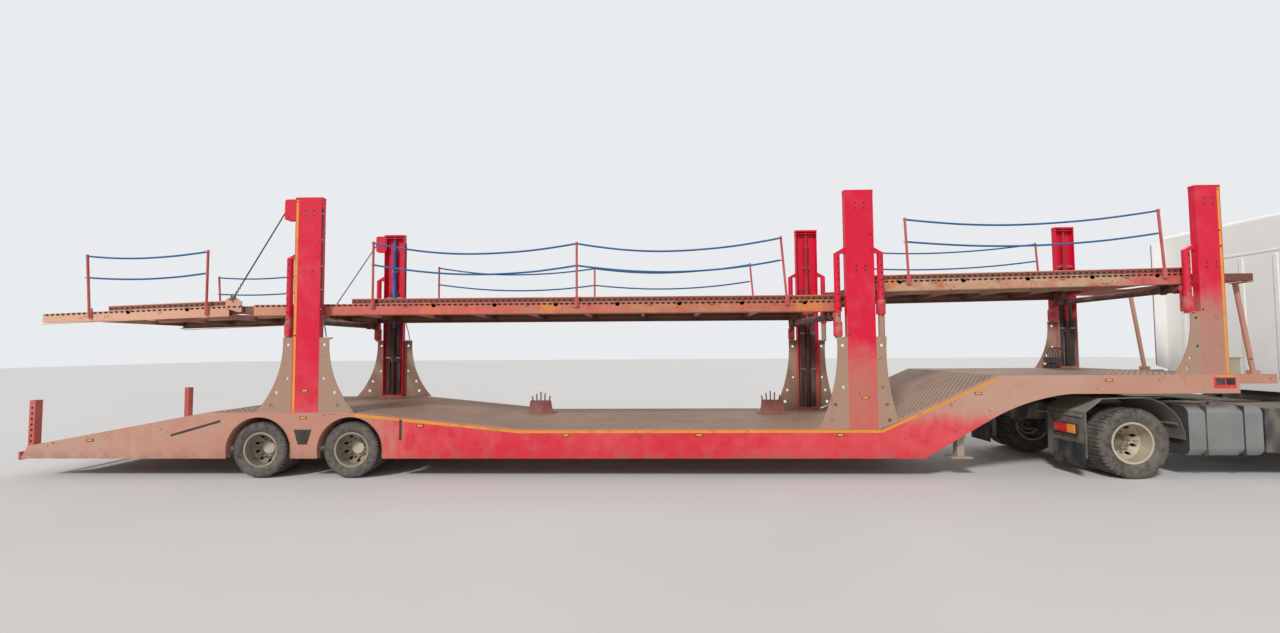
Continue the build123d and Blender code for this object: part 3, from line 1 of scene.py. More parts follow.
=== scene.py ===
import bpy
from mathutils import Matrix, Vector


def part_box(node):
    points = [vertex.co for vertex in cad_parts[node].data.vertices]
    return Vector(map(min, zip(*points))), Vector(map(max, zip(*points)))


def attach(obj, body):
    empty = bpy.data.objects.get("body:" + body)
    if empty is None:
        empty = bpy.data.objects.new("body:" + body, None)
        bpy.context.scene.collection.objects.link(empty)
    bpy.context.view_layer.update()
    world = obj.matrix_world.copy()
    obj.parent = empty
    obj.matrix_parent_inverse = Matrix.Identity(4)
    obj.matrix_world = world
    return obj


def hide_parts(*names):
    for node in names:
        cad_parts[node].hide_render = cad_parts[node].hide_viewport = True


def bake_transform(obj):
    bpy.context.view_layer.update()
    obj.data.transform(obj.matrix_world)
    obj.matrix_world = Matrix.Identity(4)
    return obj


bl_info = {
    "name": "Car Transporter Dressing",
    "version": (1, 0, 0),
    "blender": (4, 5, 0),
    "location": "3D View > Sidebar > Transporter",
    "description": "Dresses the packed car transporter with ropes, fittings and weathered finishes",
    "category": "Object",
}

import math
from functools import partialmethod

import bpy
from mathutils import Matrix, Vector

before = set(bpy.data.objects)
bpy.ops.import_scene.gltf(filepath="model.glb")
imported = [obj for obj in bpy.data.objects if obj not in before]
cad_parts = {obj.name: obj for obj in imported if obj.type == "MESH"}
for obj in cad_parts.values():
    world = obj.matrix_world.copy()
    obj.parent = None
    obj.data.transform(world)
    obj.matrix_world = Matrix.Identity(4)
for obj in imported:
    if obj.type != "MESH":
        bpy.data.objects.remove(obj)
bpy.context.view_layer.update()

LENGTH = 21.6
HALF_WIDTH = 1.25
TRAILER_TYRE = 0.419
TRACTOR_TYRE = 0.507
POST_TOP = 4.18
DECK_HALF_WIDTH = 1.115
CAR_FLOOR = 0.716


def at(station):
    """Place along the vehicle of a station counted from the trailer's tail, both in metres."""
    return station - LENGTH / 2


REAR_POST, MID_POST, FRONT_POST = at(4.36), at(12.57), at(17.545)
GUIDE_TUBES = (REAR_POST - 0.31, MID_POST - 0.315, MID_POST + 0.315, FRONT_POST - 0.285)
REAR_AXLE, FORE_AXLE, DRIVE_AXLE, STEER_AXLE = at(3.67), at(5.05), at(16.37), at(20.22)
CAB_FRONT = LENGTH / 2
CAB_REAR = CAB_FRONT - 2.15
SKIN = HALF_WIDTH + 0.0002
CAMERA_PLACE, CAMERA_LENS, CAMERA_SHIFT = (-1.27, -8.306, 1.89), 13.53, 0.0099
CAMERA_PAN, CAMERA_TILT, CAMERA_ROLL = 1.45, 92.36, -0.33
TREAD_STEPS, LUG_HEIGHT = 96, 0.006
MERGE_DISTANCE = 0.0002
HOLE_PITCH, PLANK_PITCH, FLOOR_PITCH, PIN_PITCH = 0.085, 0.070, 0.09, 0.105


# Modelling, with the same operators as by hand


def clear(piece=None):
    """Leave edit mode with nothing selected but the given piece, which becomes the active one."""
    if bpy.context.object and bpy.context.object.mode != "OBJECT":
        bpy.ops.object.mode_set(mode="OBJECT")
    bpy.ops.object.select_all(action="DESELECT")
    if piece:
        piece.select_set(True)
        bpy.context.view_layer.objects.active = piece


def edit(kind=None, action="SELECT"):
    """Enter edit mode, with all or nothing of one kind of element selected."""
    bpy.ops.object.mode_set(mode="EDIT")
    if kind:
        bpy.ops.mesh.select_mode(type=kind)
    bpy.ops.mesh.select_all(action=action)


def close():
    """Turn all the faces outward and leave edit mode."""
    bpy.ops.mesh.select_all(action="SELECT")
    bpy.ops.mesh.normals_make_consistent(inside=False)
    bpy.ops.object.mode_set(mode="OBJECT")


def extrude(step):
    """Draw what is selected out by a step."""
    bpy.ops.mesh.extrude_region_move(TRANSFORM_OT_translate={"value": step})


def settle(piece, name):
    """Name a new piece and put its place into its mesh."""
    piece.name = name
    bpy.ops.object.transform_apply(location=True, rotation=True, scale=True)
    return piece


def block(name, low, high, bevel=0.004):
    """Box between two corners with rounded edges."""
    clear()
    low, high = Vector(low), Vector(high)
    bpy.ops.mesh.primitive_cube_add(size=1, location=(low + high) / 2, scale=high - low)
    piece = settle(bpy.context.object, name)
    if bevel:
        edit()
        bpy.ops.mesh.bevel(offset=bevel, segments=2, affect="EDGES", clamp_overlap=True)
        bpy.ops.object.mode_set(mode="OBJECT")
    return piece


def facing(direction, across=None):
    """Turn whose Z runs along a direction."""
    z = Vector(direction).normalized()
    guide = Vector(across) if across else (Vector((0, 0, 1)) if abs(z.z) < 0.9 else Vector((1, 0, 0)))
    x = guide.cross(z).normalized()
    return Matrix((x, z.cross(x), z)).transposed()


def turned(name, foot, direction, rings, sides=24, smooth=True):
    """Round piece on an axis: rings are radius and distance from the foot."""
    clear()
    foot, direction = Vector(foot), Vector(direction).normalized()
    radius, reach = rings[0]
    bpy.ops.mesh.primitive_circle_add(
        vertices=sides,
        radius=radius,
        fill_type="NGON",
        location=foot + direction * reach,
        rotation=facing(direction).to_euler(),
    )
    piece = settle(bpy.context.object, name)
    edit()
    for next_radius, next_reach in rings[1:]:
        step = direction * (next_reach - reach)
        extrude(step)
        share = next_radius / radius
        centre = foot + direction * next_reach
        bpy.ops.transform.resize(value=(share, share, share), center_override=centre)
        radius, reach = next_radius, next_reach
    close()
    if smooth:
        bpy.ops.object.shade_smooth_by_angle(angle=math.radians(32))
    return piece


def torus(name, place, major, minor, segments, turn=(0, 0, 0)):
    """Ring of round section about the Z axis, or about the way that the turn sends it."""
    clear()
    bpy.ops.mesh.primitive_torus_add(
        location=place, rotation=turn, major_radius=major, minor_radius=minor, major_segments=segments,
        minor_segments=8,
    )
    return settle(bpy.context.object, name)


def ringed(name, profile, axis_x, axis_z, steps):
    """Ring spun round a wheel's axle from a closed profile of places across and distances from the axle."""
    clear()
    across, reach = profile[0]
    bpy.ops.mesh.primitive_plane_add(size=0.001, location=(axis_x, across, axis_z + reach))
    piece = settle(bpy.context.object, name)
    edit("VERT")
    bpy.ops.mesh.merge(type="CENTER")
    for (across, reach), (next_across, next_reach) in zip(profile, profile[1:] + profile[:1]):
        step = (0, next_across - across, next_reach - reach)
        extrude(step)
    bpy.ops.mesh.select_all(action="SELECT")
    bpy.ops.mesh.remove_doubles(threshold=MERGE_DISTANCE)
    bpy.ops.mesh.select_all(action="SELECT")
    bpy.ops.mesh.spin(steps=steps, angle=2 * math.pi, center=(axis_x, 0, axis_z), axis=(0, 1, 0))
    bpy.ops.mesh.select_all(action="SELECT")
    bpy.ops.mesh.remove_doubles(threshold=MERGE_DISTANCE)
    close()
    return piece


def raise_lugs(piece, axle, radius, width, centre):
    """Draw every other step of a tyre's shoulders out as a tread lug."""
    clear(piece)
    edit("FACE", "DESELECT")
    bpy.ops.object.mode_set(mode="OBJECT")
    for face in piece.data.polygons:
        x, y, z = face.center
        x, z = x - axle, z - radius
        step = int((math.atan2(z, x) % math.tau) / math.tau * TREAD_STEPS)
        outer = math.hypot(x, z) > radius - LUG_HEIGHT - 0.012 and abs(y - centre) > width * 0.22
        face.select = outer and step % 2 == 0
    bpy.ops.object.mode_set(mode="EDIT")
    bpy.ops.mesh.extrude_region_shrink_fatten(TRANSFORM_OT_shrink_fatten={"value": LUG_HEIGHT})
    bpy.ops.object.mode_set(mode="OBJECT")


def band(name, points, across, thickness=0.0, offset=0.0):
    """Flat band whose edge follows points, with a width given as a vector, drawn out a run at a time."""
    clear()
    points, across = [Vector(point) for point in points], Vector(across)
    sliver = 0.001
    side = across.normalized()
    run = points[1] - points[0]
    run = (run - side * run.dot(side)).normalized()
    turn = Matrix((run, side, run.cross(side))).transposed()
    start = points[0] + run * sliver
    middle = start + across / 2
    bpy.ops.mesh.primitive_plane_add(size=1, location=middle - run * (sliver / 2), rotation=turn.to_euler())
    bpy.context.object.scale = (sliver, across.length, 1)
    piece = settle(bpy.context.object, name)
    edit("EDGE", "DESELECT")
    bpy.ops.object.mode_set(mode="OBJECT")
    for edge in piece.data.edges:
        place = sum((piece.data.vertices[index].co for index in edge.vertices), Vector()) / 2
        edge.select = (place - middle).length < MERGE_DISTANCE
    bpy.ops.object.mode_set(mode="EDIT")
    for last, point in zip([start] + points[1:], points[1:]):
        extrude(point - last)
    close()
    if thickness:
        wall = piece.modifiers.new("wall", "SOLIDIFY")
        wall.thickness, wall.offset = thickness, offset
        bpy.ops.object.modifier_apply(modifier=wall.name)
    return piece


def plate(name, corners, thickness, bevel=0.0):
    """Flat plate on a convex outline: a plane cut to each side, then drawn out to its thickness."""
    clear()
    corners = [Vector(corner) for corner in corners]
    normal = (corners[1] - corners[0]).cross(corners[2] - corners[1]).normalized()
    centre = sum(corners, Vector()) / len(corners)
    reach = max((corner - centre).length for corner in corners)
    bpy.ops.mesh.primitive_plane_add(size=4 * reach, location=centre, rotation=facing(normal).to_euler())
    piece = settle(bpy.context.object, name)
    bpy.ops.object.mode_set(mode="EDIT")
    for first, second in zip(corners, corners[1:] + corners[:1]):
        bpy.ops.mesh.select_all(action="SELECT")
        outward = (second - first).cross(normal)
        bpy.ops.mesh.bisect(plane_co=first, plane_no=outward, clear_outer=True)
    bpy.ops.mesh.select_all(action="SELECT")
    extrude(normal * thickness)
    bpy.ops.mesh.select_all(action="SELECT")
    bpy.ops.mesh.normals_make_consistent(inside=False)
    if bevel:
        bpy.ops.mesh.bevel(offset=bevel, segments=2, affect="EDGES", clamp_overlap=True)
    bpy.ops.object.mode_set(mode="OBJECT")
    return piece


def copy_at(piece, name, move=(0, 0, 0), mirror=False):
    """Copy of a piece with its own mesh, moved, or mirrored to the other side of the vehicle."""
    twin = piece.copy()
    twin.data = piece.data.copy()
    twin.name = name
    bpy.context.collection.objects.link(twin)
    clear(twin)
    if mirror:
        edit()
        bpy.ops.transform.resize(value=(1, -1, 1), center_override=(0, 0, 0))
        close()
    twin.location = Vector(move)
    bpy.ops.object.transform_apply(location=True, rotation=True, scale=True)
    return twin


def joined(pieces, name):
    """Several pieces as one."""
    clear(pieces[0])
    for piece in pieces:
        piece.select_set(True)
    bpy.ops.object.join()
    pieces[0].name = name
    return pieces[0]


def row(piece, name, moves):
    """Copies of a piece at each of several moves, as one, without the pattern piece itself."""
    copies = [copy_at(piece, f"{name}_{index}", move) for index, move in enumerate(moves)]
    bpy.data.objects.remove(piece, do_unlink=True)
    return joined(copies, name)


def curve_through(name, points, radius, resolution, rounding, smooth=True):
    """Curve through points, with rounded or sharp bends, as thick as its radius."""
    curve = bpy.data.curves.new(name, "CURVE")
    curve.dimensions = "3D"
    curve.resolution_u = resolution
    curve.bevel_depth, curve.bevel_resolution = radius, rounding
    curve.use_fill_caps = True
    spline = curve.splines.new("NURBS" if smooth else "POLY")
    spline.points.add(len(points) - 1)
    for point, place in zip(spline.points, points):
        point.co = (*place, 1)
    if smooth:
        spline.order_u = 3
        spline.use_endpoint_u = True
    piece = bpy.data.objects.new(name, curve)
    bpy.context.collection.objects.link(piece)
    return piece


def pipe(name, points, radius, smooth=True):
    """Round bar or fixed pipe through points."""
    clear(curve_through(name, points, radius, 6, 2, smooth))
    bpy.ops.object.convert(target="MESH")
    bpy.ops.object.shade_smooth_by_angle(angle=math.radians(40))
    return bpy.context.object


def both_sides(piece):
    """The piece together with its mirror image on the other side."""
    return joined([piece, copy_at(piece, piece.name + "_twin", mirror=True)], piece.name)


def coat(piece, finish):
    """Give a piece one finish in place of those it has."""
    piece.data.materials.clear()
    piece.data.materials.append(finish_of(finish))


def fit(piece, body, finish):
    """Give a finished piece its material and the body it moves with."""
    coat(piece, finish)
    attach(piece, body)
    return piece


def dress(pieces, name, body, finish, both=True):
    """Join pieces under one name, with their mirror images if both sides have them, and fit the whole."""
    piece = joined(pieces, name)
    return fit(both_sides(piece) if both else piece, body, finish)


# Finishes


class Signal:
    """Socket of a material's nodes, whose arithmetic adds the nodes that work it out."""

    def __init__(self, tree, socket):
        self.tree, self.socket = tree, socket

    def math(self, operation, *others):
        """Math node whose first value is this signal."""
        return node(self.tree, "ShaderNodeMath", {"operation": operation}, dict(enumerate((self, *others))))

    __add__ = __radd__ = partialmethod(math, "ADD")
    __mul__ = __rmul__ = partialmethod(math, "MULTIPLY")
    __sub__ = partialmethod(math, "SUBTRACT")
    __truediv__ = partialmethod(math, "DIVIDE")
    __lt__ = partialmethod(math, "LESS_THAN")
    __gt__ = partialmethod(math, "GREATER_THAN")
    __abs__ = partialmethod(math, "ABSOLUTE")
    most = partialmethod(math, "MAXIMUM")
    least = partialmethod(math, "MINIMUM")
    fract = partialmethod(math, "FRACT")
    sine = partialmethod(math, "SINE")
    root = partialmethod(math, "SQRT")

    def __rsub__(self, other):
        return node(self.tree, "ShaderNodeMath", {"operation": "SUBTRACT"}, {0: other, 1: self})

    def between(self, low, high):
        """0 below low, 1 above high and a smooth rise between."""
        settings = {"interpolation_type": "SMOOTHSTEP", "clamp": True}
        return node(self.tree, "ShaderNodeMapRange", settings, {0: self, 1: low, 2: high, 3: 0.0, 4: 1.0})

    def slope(self, low, high, rise=1.0):
        """0 below low, rise above high and a straight line between."""
        return node(
            self.tree, "ShaderNodeMapRange", {"clamp": True}, {0: self, 1: low, 2: high, 3: 0.0, 4: rise},
        )

    def part(self, index):
        """One of a vector's three parts."""
        return node(self.tree, "ShaderNodeSeparateXYZ", {}, {0: self}, output=index)


def node(tree, kind, settings, inputs, output=0):
    """Add a node with its settings and the values or links of its sockets."""
    added = tree.nodes.new(kind)
    for key, value in settings.items():
        setattr(added, key, value)
    for key, value in inputs.items():
        socket = added.inputs[key]
        if isinstance(value, Signal):
            tree.links.new(value.socket, socket)
        else:
            socket.default_value = value
    return Signal(tree, added.outputs[output])


class Finish:
    """Material of one finish, built on the object's own coordinates."""

    def __init__(self, name):
        self.material = bpy.data.materials.new(name)
        self.material.use_nodes = True
        self.tree = self.material.node_tree
        self.shader = self.tree.nodes["Principled BSDF"]
        self.place = self.add("ShaderNodeTexCoord", output=3)
        self.x, self.y, self.z = [self.place.part(index) for index in range(3)]
        self.up = self.add("ShaderNodeTexCoord", output=1).part(2)
        self.set(Specular_IOR_Level=0.3)

    def add(self, kind, settings=None, inputs=None, output=0):
        """Add a node to this finish."""
        return node(self.tree, kind, settings or {}, inputs or {}, output)

    def noise(self, scale, detail=4.0, stretch=(1, 1, 1)):
        """Smooth random pattern from 0 to 1, with so many features to the metre."""
        place = self.add("ShaderNodeMapping", {}, {0: self.place, 3: stretch})
        values = {"Vector": place, "Scale": scale, "Detail": detail, "Roughness": 0.55}
        return self.add("ShaderNodeTexNoise", {}, values)

    def chips(self, scale, patches, low, high):
        """Chipped spots that gather in patches."""
        return (self.noise(scale, 3.0) + self.noise(patches, 2.0) * 0.5).between(low, high)

    def blend(self, low, high, share):
        """Colour that goes from low to high."""
        low, high = [value if isinstance(value, Signal) else (*value, 1) for value in (low, high)]
        return self.add("ShaderNodeMix", {"data_type": "RGBA"}, {0: share, 6: low, 7: high}, output=2)

    def lay(self, shade, share):
        """Lay a colour over the tint so far, as thick as its share."""
        self.tint = self.blend(self.tint, shade, share)

    def set(self, **values):
        """Set the shader's own sockets, named with underscores for spaces."""
        for key, value in values.items():
            socket = self.shader.inputs[key.replace("_", " ")]
            if isinstance(value, Signal):
                self.tree.links.new(value.socket, socket)
            elif socket.type == "RGBA":
                socket.default_value = (*value, 1)
            else:
                socket.default_value = value
        return self

    def bump(self, height, strength=0.3, distance=0.002):
        """Surface relief from a height pattern."""
        relief = self.add(
            "ShaderNodeBump", {}, {"Strength": strength, "Distance": distance, "Height": height},
        )
        self.tree.links.new(relief.socket, self.shader.inputs["Normal"])
        return self


def nearest_to(signal, places):
    """Distance between a signal and the nearest of some places."""
    apart = [abs(signal - place) for place in places]
    nearest = apart[0]
    for other in apart[1:]:
        nearest = nearest.least(other)
    return nearest


def from_axle(finish, axle, radius):
    """Distance from a wheel's axle."""
    x, z = finish.x - axle, finish.z - radius
    return (x * x + z * z).root()


def plain_coat(name, base, second, dust, rough, metal, dust_share, grain=60.0):
    """Coat with a fine grain, a cloudy second tone and dust on what faces up."""
    finish = Finish(name)
    cloud = finish.noise(2.2, 5.0)
    fine = finish.noise(grain, 3.0)
    finish.tint = finish.blend(colour(base), colour(second), (cloud * 0.8 + fine * 0.3).between(0.35, 0.8))
    level = finish.up.between(0.3, 0.95)
    veil = (finish.noise(5.0, 4.0, (1, 1, 0.4)).between(0.42, 0.75) * 0.55 + level * 0.6) * dust_share
    finish.lay(colour(dust), veil)
    finish.set(Base_Color=finish.tint, Roughness=veil * 0.35 + fine * 0.12 + rough, Metallic=metal)
    finish.bump(fine * 0.6 + cloud * 0.4, 0.2, 0.001)
    return finish


def trailer_red():
    """Faded red of the side beams, dusty over the wheels, at the tail and up on the neck."""
    finish = Finish("trailer_red_paint")
    cloud = finish.noise(0.8, 5.0, (0.5, 1, 1))
    mottle = finish.noise(6.0, 6.0)
    fine = finish.noise(60.0, 3.0)
    streaks = finish.noise(8.0, 3.0, (1, 1, 0.08))
    fade = (cloud * 0.6 + mottle * 0.4).between(0.38, 0.66)
    red = finish.blend((0.68, 0.026, 0.048), (0.73, 0.090, 0.098), fade)
    raised = (finish.z + cloud * 0.22).between(0.78, 1.26)
    rearward = 1 - finish.x.between(at(4.9), at(6.4))
    splash = 1 - finish.z.between(0.30, 0.52)
    dusty = raised.most(rearward * 0.85)
    veil = (dusty * 0.8 + streaks * 0.45 + mottle * 0.35 - 0.42).between(0.0, 0.75) * 0.88
    dust = finish.blend((0.50, 0.285, 0.20), (0.51, 0.36, 0.265), cloud.between(0.4, 0.62))
    finish.tint = finish.blend(red, dust, veil)
    level = finish.up.between(0.5, 0.95) * (mottle * 0.4 + 0.55)
    finish.lay((0.36, 0.25, 0.19), level)
    finish.lay((0.30, 0.10, 0.10), splash * (mottle.between(0.35, 0.7) * 0.5))
    chips = finish.chips(24.0, 2.5, 0.92, 0.98) * 0.75
    finish.lay((0.16, 0.065, 0.04), chips)
    finish.set(Base_Color=finish.tint, Roughness=veil * 0.3 + chips * 0.2 + fine * 0.12 + 0.42)
    finish.bump(mottle * 0.4 + fine * 0.3 - chips * 0.8, 0.35, 0.002)
    return finish


def post_red():
    """Bright red of the lift posts, bleached in clouds, with dusty gussets at their feet."""
    finish = Finish("post_red_paint")
    mottle = finish.noise(5.0, 6.0)
    cloud = finish.noise(1.1, 5.0)
    fine = finish.noise(70.0, 3.0)
    streaks = finish.noise(11.0, 4.0, (1, 1, 0.06))
    centres = (REAR_POST, MID_POST, FRONT_POST)
    gusset = nearest_to(finish.x, centres).between(0.195, 0.215) * (1 - finish.z.between(2.30, 2.45))
    front = finish.x.between(FRONT_POST - 0.6, FRONT_POST - 0.5)
    mid = finish.x.between(at(9.0), at(9.5)) * (1 - front)
    low = (finish.z - mid * (cloud * 1.2)).between(0.5, 1.9) * (1 - front)
    height = low + finish.z.between(2.0, 3.1) * front
    fade = (cloud * 0.55 + mottle * 0.35 + (1 - height) * 0.25).between(0.42, 0.78)
    finish.tint = finish.blend((0.69, 0.008, 0.042), (0.74, 0.085, 0.11), fade)
    foot = (1 - height) * (front * 0.40 + mid * 0.22 + 0.42)
    veil = (foot + streaks * 0.5 + mottle * 0.3 - 0.50).between(0.0, 0.7) * 0.75
    veil = veil.most(gusset * (mottle * 0.3 + 0.78))
    beige = (gusset * 0.95).most(front)
    dust = finish.blend((0.45, 0.20, 0.14), (0.375, 0.275, 0.195), beige)
    finish.lay(dust, veil)
    chips = finish.chips(30.0, 3.0, 0.94, 1.0) * 0.8
    rust = streaks.between(0.66, 0.74) * 0.35
    finish.lay((0.17, 0.06, 0.035), chips.most(rust))
    # Painted shade: the pin holes down the guide tubes are dark dots painted near-black, not cut.
    across = nearest_to(finish.x, GUIDE_TUBES)
    along = (((finish.z - 2.36) / PIN_PITCH + 0.5).fract() - 0.5) * PIN_PITCH
    pin = 1 - (across * across + along * along).between(0.00015, 0.00019)
    pin = pin * (finish.z > 2.31) * (finish.z < 3.25) * (abs(finish.y) > 1.21)
    finish.lay((0.025, 0.015, 0.012), pin)
    finish.set(Base_Color=finish.tint, Roughness=veil * 0.35 + chips * 0.2 + fine * 0.1 + 0.36)
    finish.bump(mottle * 0.4 + fine * 0.25 - chips * 0.8 - pin * 2.5, 0.3, 0.002)
    return finish


def lift_paint():
    """Lift beams: greasy dark bars between the posts, red sleeves outside."""
    finish = Finish("lift_beam_paint")
    out = abs(finish.y)
    mottle = finish.noise(9.0, 5.0)
    fine = finish.noise(90.0, 3.0)
    red = finish.blend((0.60, 0.03, 0.055), (0.58, 0.17, 0.14), mottle.between(0.4, 0.7))
    dark = finish.blend((0.10, 0.035, 0.03), (0.20, 0.10, 0.07), mottle.between(0.4, 0.7))
    finish.tint = finish.blend(dark, red, out.between(1.10, 1.13))
    finish.lay((0.33, 0.24, 0.18), finish.up.between(0.5, 0.95) * 0.6)
    finish.set(Base_Color=finish.tint, Roughness=mottle * 0.3 + 0.4)
    finish.bump(mottle * 0.4 + fine * 0.4, 0.25, 0.001)
    return finish


def holes(across, along, wide, high):
    """1 inside rounded holes, one to each unit square of two signals, and 0 between them."""
    across = (across.fract() - 0.5) / wide
    along = (along.fract() - 0.5) / high
    across, along = across * across, along * along
    return (across * across + along * along) < 1.0


def deck_red():
    """Upper decks: orange-red paint under dust, browner towards the tail, with painted shade on the channels'
    inner faces, on the edge strip and in holes painted near-black.
    """
    finish = Finish("upper_deck_paint")
    mottle = finish.noise(7.0, 6.0, (0.6, 1, 1))
    cloud = finish.noise(0.7, 4.0, (0.7, 1, 1))
    fine = finish.noise(80.0, 3.0)
    streaks = finish.noise(14.0, 3.0, (1, 1, 0.12))
    tailward = 1 - finish.x.between(at(1.5), at(5.2))
    finish.tint = finish.blend(
        (0.52, 0.12, 0.065), (0.57, 0.22, 0.13), (cloud * 0.6 + mottle * 0.4).between(0.36, 0.66),
    )
    finish.lay((0.80, 0.46, 0.31), tailward * 0.85)
    forward = finish.x.between(at(12.0), at(13.2))
    finish.lay((0.60, 0.39, 0.245), forward * mottle.between(0.25, 0.6) * 0.85)
    finish.lay((0.60, 0.06, 0.075), finish.x.between(at(16.3), at(16.7)) * 0.75)
    veil = (streaks * 0.6 + mottle * 0.5 - 0.3).between(0.0, 0.6) * 0.45
    level = finish.up.between(0.45, 0.95) * (mottle * 0.3 + 0.68)
    veil = veil.most(level)
    dust = finish.blend((0.40, 0.275, 0.19), (0.66, 0.44, 0.31), tailward * (1 - level))
    finish.lay(dust, veil)
    orange = finish.noise(1.6, 2.0, (1, 1, 0.5)).between(0.60, 0.64) * (1 - level) * 0.65
    finish.lay((0.76, 0.26, 0.05), orange)
    chips = finish.chips(28.0, 3.0, 0.90, 0.97) * 0.8
    finish.lay((0.15, 0.07, 0.04), chips)
    rail_top = (
        finish.x.slope(at(0.11), at(3.05), 0.105) + (finish.x > at(3.24)) * 0.010
        + (finish.x > at(12.55)) * 0.285 + finish.x.slope(at(12.795), at(17.35), 0.075) + 2.485
    )
    over = finish.z - rail_top
    out = abs(finish.y)
    lip = (out > 1.066) * (out < 1.0865)
    strip = over.between(0.010, 0.012) * (1 - over.between(0.064, 0.066)) * lip
    row_of_holes = over.between(-0.041, -0.040) * (1 - over.between(-0.005, -0.004)) * (out > 1.105)
    # Painted shade: the inner faces of the side channels, turned away from the sky, are darkened to dark
    # brown.
    inside = (1 - (out > 1.1085)) * (1 - finish.up.between(0.4, 0.8)) * (over < 0.001)
    finish.lay((0.10, 0.045, 0.03), inside * (mottle * 0.25 + 0.68))
    # Painted shade: the perforated edge strip below the red lip is darkened.
    finish.lay((0.16, 0.05, 0.04), strip * 0.85)
    finish.lay((0.66, 0.07, 0.09), (over > 0.064) * lip * 0.85)
    red_paint = (out > 1.112) * (over > -0.4) * finish.noise(0.45, 2.0).between(0.45, 0.6) * 0.55
    finish.lay((0.66, 0.10, 0.10), red_paint * (1 - tailward))
    shaded_strip_hole = strip * holes(finish.x / HOLE_PITCH, (over - 0.012) / 0.052, 0.24, 0.26)
    shaded_web_hole = row_of_holes * holes(finish.x / HOLE_PITCH + 0.5, (over + 0.040) / 0.036, 0.32, 0.42)
    plank = (out > 0.44) * (out < 1.04) * abs(finish.up).between(0.7, 0.9)
    plank_hole = plank * holes(finish.x / PLANK_PITCH, finish.y / PLANK_PITCH, 0.26, 0.26)
    # Painted shade: the holes of the edge strip and the web are not cut but painted near-black, as the shade
    # seen through them.
    finish.lay((0.012, 0.009, 0.008), shaded_strip_hole.most(shaded_web_hole) * 0.94)
    finish.set(
        Base_Color=finish.tint, Roughness=veil * 0.3 + chips * 0.2 + fine * 0.1 + 0.45, Alpha=1 - plank_hole,
    )
    finish.bump(mottle * 0.4 + fine * 0.3 - chips, 0.35, 0.002)
    return finish


def grid_floor():
    """Perforated floor sheet: rows of raised holes, painted near-black as shade, under tyre-worn dust."""
    finish = Finish("perforated_floor")
    apart = []
    for shift in (0.0, 0.5):
        across, along = [(place / FLOOR_PITCH + shift).fract() - 0.5 for place in (finish.x, finish.y)]
        apart.append(across * across + along * along)
    nearest = apart[0].least(apart[1])
    level = finish.up.between(0.6, 0.9)
    hole = (1 - nearest.between(0.022, 0.034)) * level
    rim = (1 - abs(nearest - 0.045).between(0.0, 0.02)) * level
    mottle = finish.noise(4.0, 6.0)
    cloud = finish.noise(0.8, 4.0)
    lane = 1 - abs(abs(finish.y) - 0.78).between(0.12, 0.32)
    finish.tint = finish.blend(
        (0.28, 0.16, 0.11), (0.42, 0.26, 0.175), (cloud * 0.5 + mottle * 0.5).between(0.36, 0.64),
    )
    finish.lay((0.40, 0.15, 0.12), mottle.between(0.55, 0.72) * 0.5)
    finish.lay((0.38, 0.28, 0.205), lane * 0.45)
    finish.lay((0.50, 0.42, 0.34), rim * 0.35)
    # Painted shade: the holes are not cut but painted near-black, as the shade seen through them.
    finish.lay((0.035, 0.03, 0.028), hole)
    finish.set(Base_Color=finish.tint, Roughness=mottle * 0.2 + 0.55, Metallic=lane * 0.25)
    finish.bump(rim * 0.6 - hole + mottle * 0.2, 0.7, 0.004)
    return finish


def tape_yellow():
    """Reflective tape: short orange-yellow lengths with a honeycomb of fine cells, scuffed and dusty."""
    finish = Finish("yellow_tape")
    values = {"Vector": finish.place, "Scale": 260.0}
    cells = finish.add("ShaderNodeTexVoronoi", {"feature": "DISTANCE_TO_EDGE"}, values)
    wear = finish.noise(9.0, 5.0).between(0.52, 0.70)
    finish.tint = finish.blend((0.70, 0.25, 0.03), (0.80, 0.40, 0.06), finish.noise(2.0, 3.0))
    finish.lay((0.52, 0.22, 0.12), wear * 0.85)
    finish.set(Base_Color=finish.tint, Roughness=wear * 0.3 + 0.28)
    finish.bump(cells.between(0.0, 0.25), 0.15, 0.0005)
    return finish


def tyre_rubber(name, centre_x, radius, lugs):
    """Dusty rubber of the wheels on one axle, with tread blocks round the outside and painted shade in the
    gaps between them.
    """
    finish = Finish(name)
    reach = from_axle(finish, centre_x, radius)
    turn = (finish.z - radius).math("ARCTAN2", finish.x - centre_x)
    notch = (turn * (lugs / math.tau)).fract()
    gap = (1 - notch.between(0.08, 0.14)) + notch.between(0.90, 0.96)
    tread = reach.between(radius - 0.022, radius - 0.012)
    shoulder = reach.between(radius - 0.05, radius - 0.03)
    mottle = finish.noise(14.0, 5.0)
    fine = finish.noise(120.0, 3.0)
    rings = (reach * 390.0).sine()
    finish.tint = finish.blend((0.030, 0.029, 0.028), (0.065, 0.06, 0.055), mottle)
    dust = (mottle * 0.7 + finish.noise(3.0, 3.0) * 0.5 - 0.25).between(0.05, 0.6)
    finish.lay((0.25, 0.22, 0.18), dust * 0.62)
    # Painted shade: the gaps between the lugs on the shoulders are painted near-black.
    finish.lay((0.012, 0.012, 0.012), gap * shoulder * 0.85)
    finish.set(Base_Color=finish.tint, Roughness=dust * 0.15 + 0.72)
    finish.bump(fine * 0.25 + rings * (1 - shoulder) * 0.12 - gap * shoulder * 1.2 + tread * 0.1, 0.6, 0.005)
    return finish


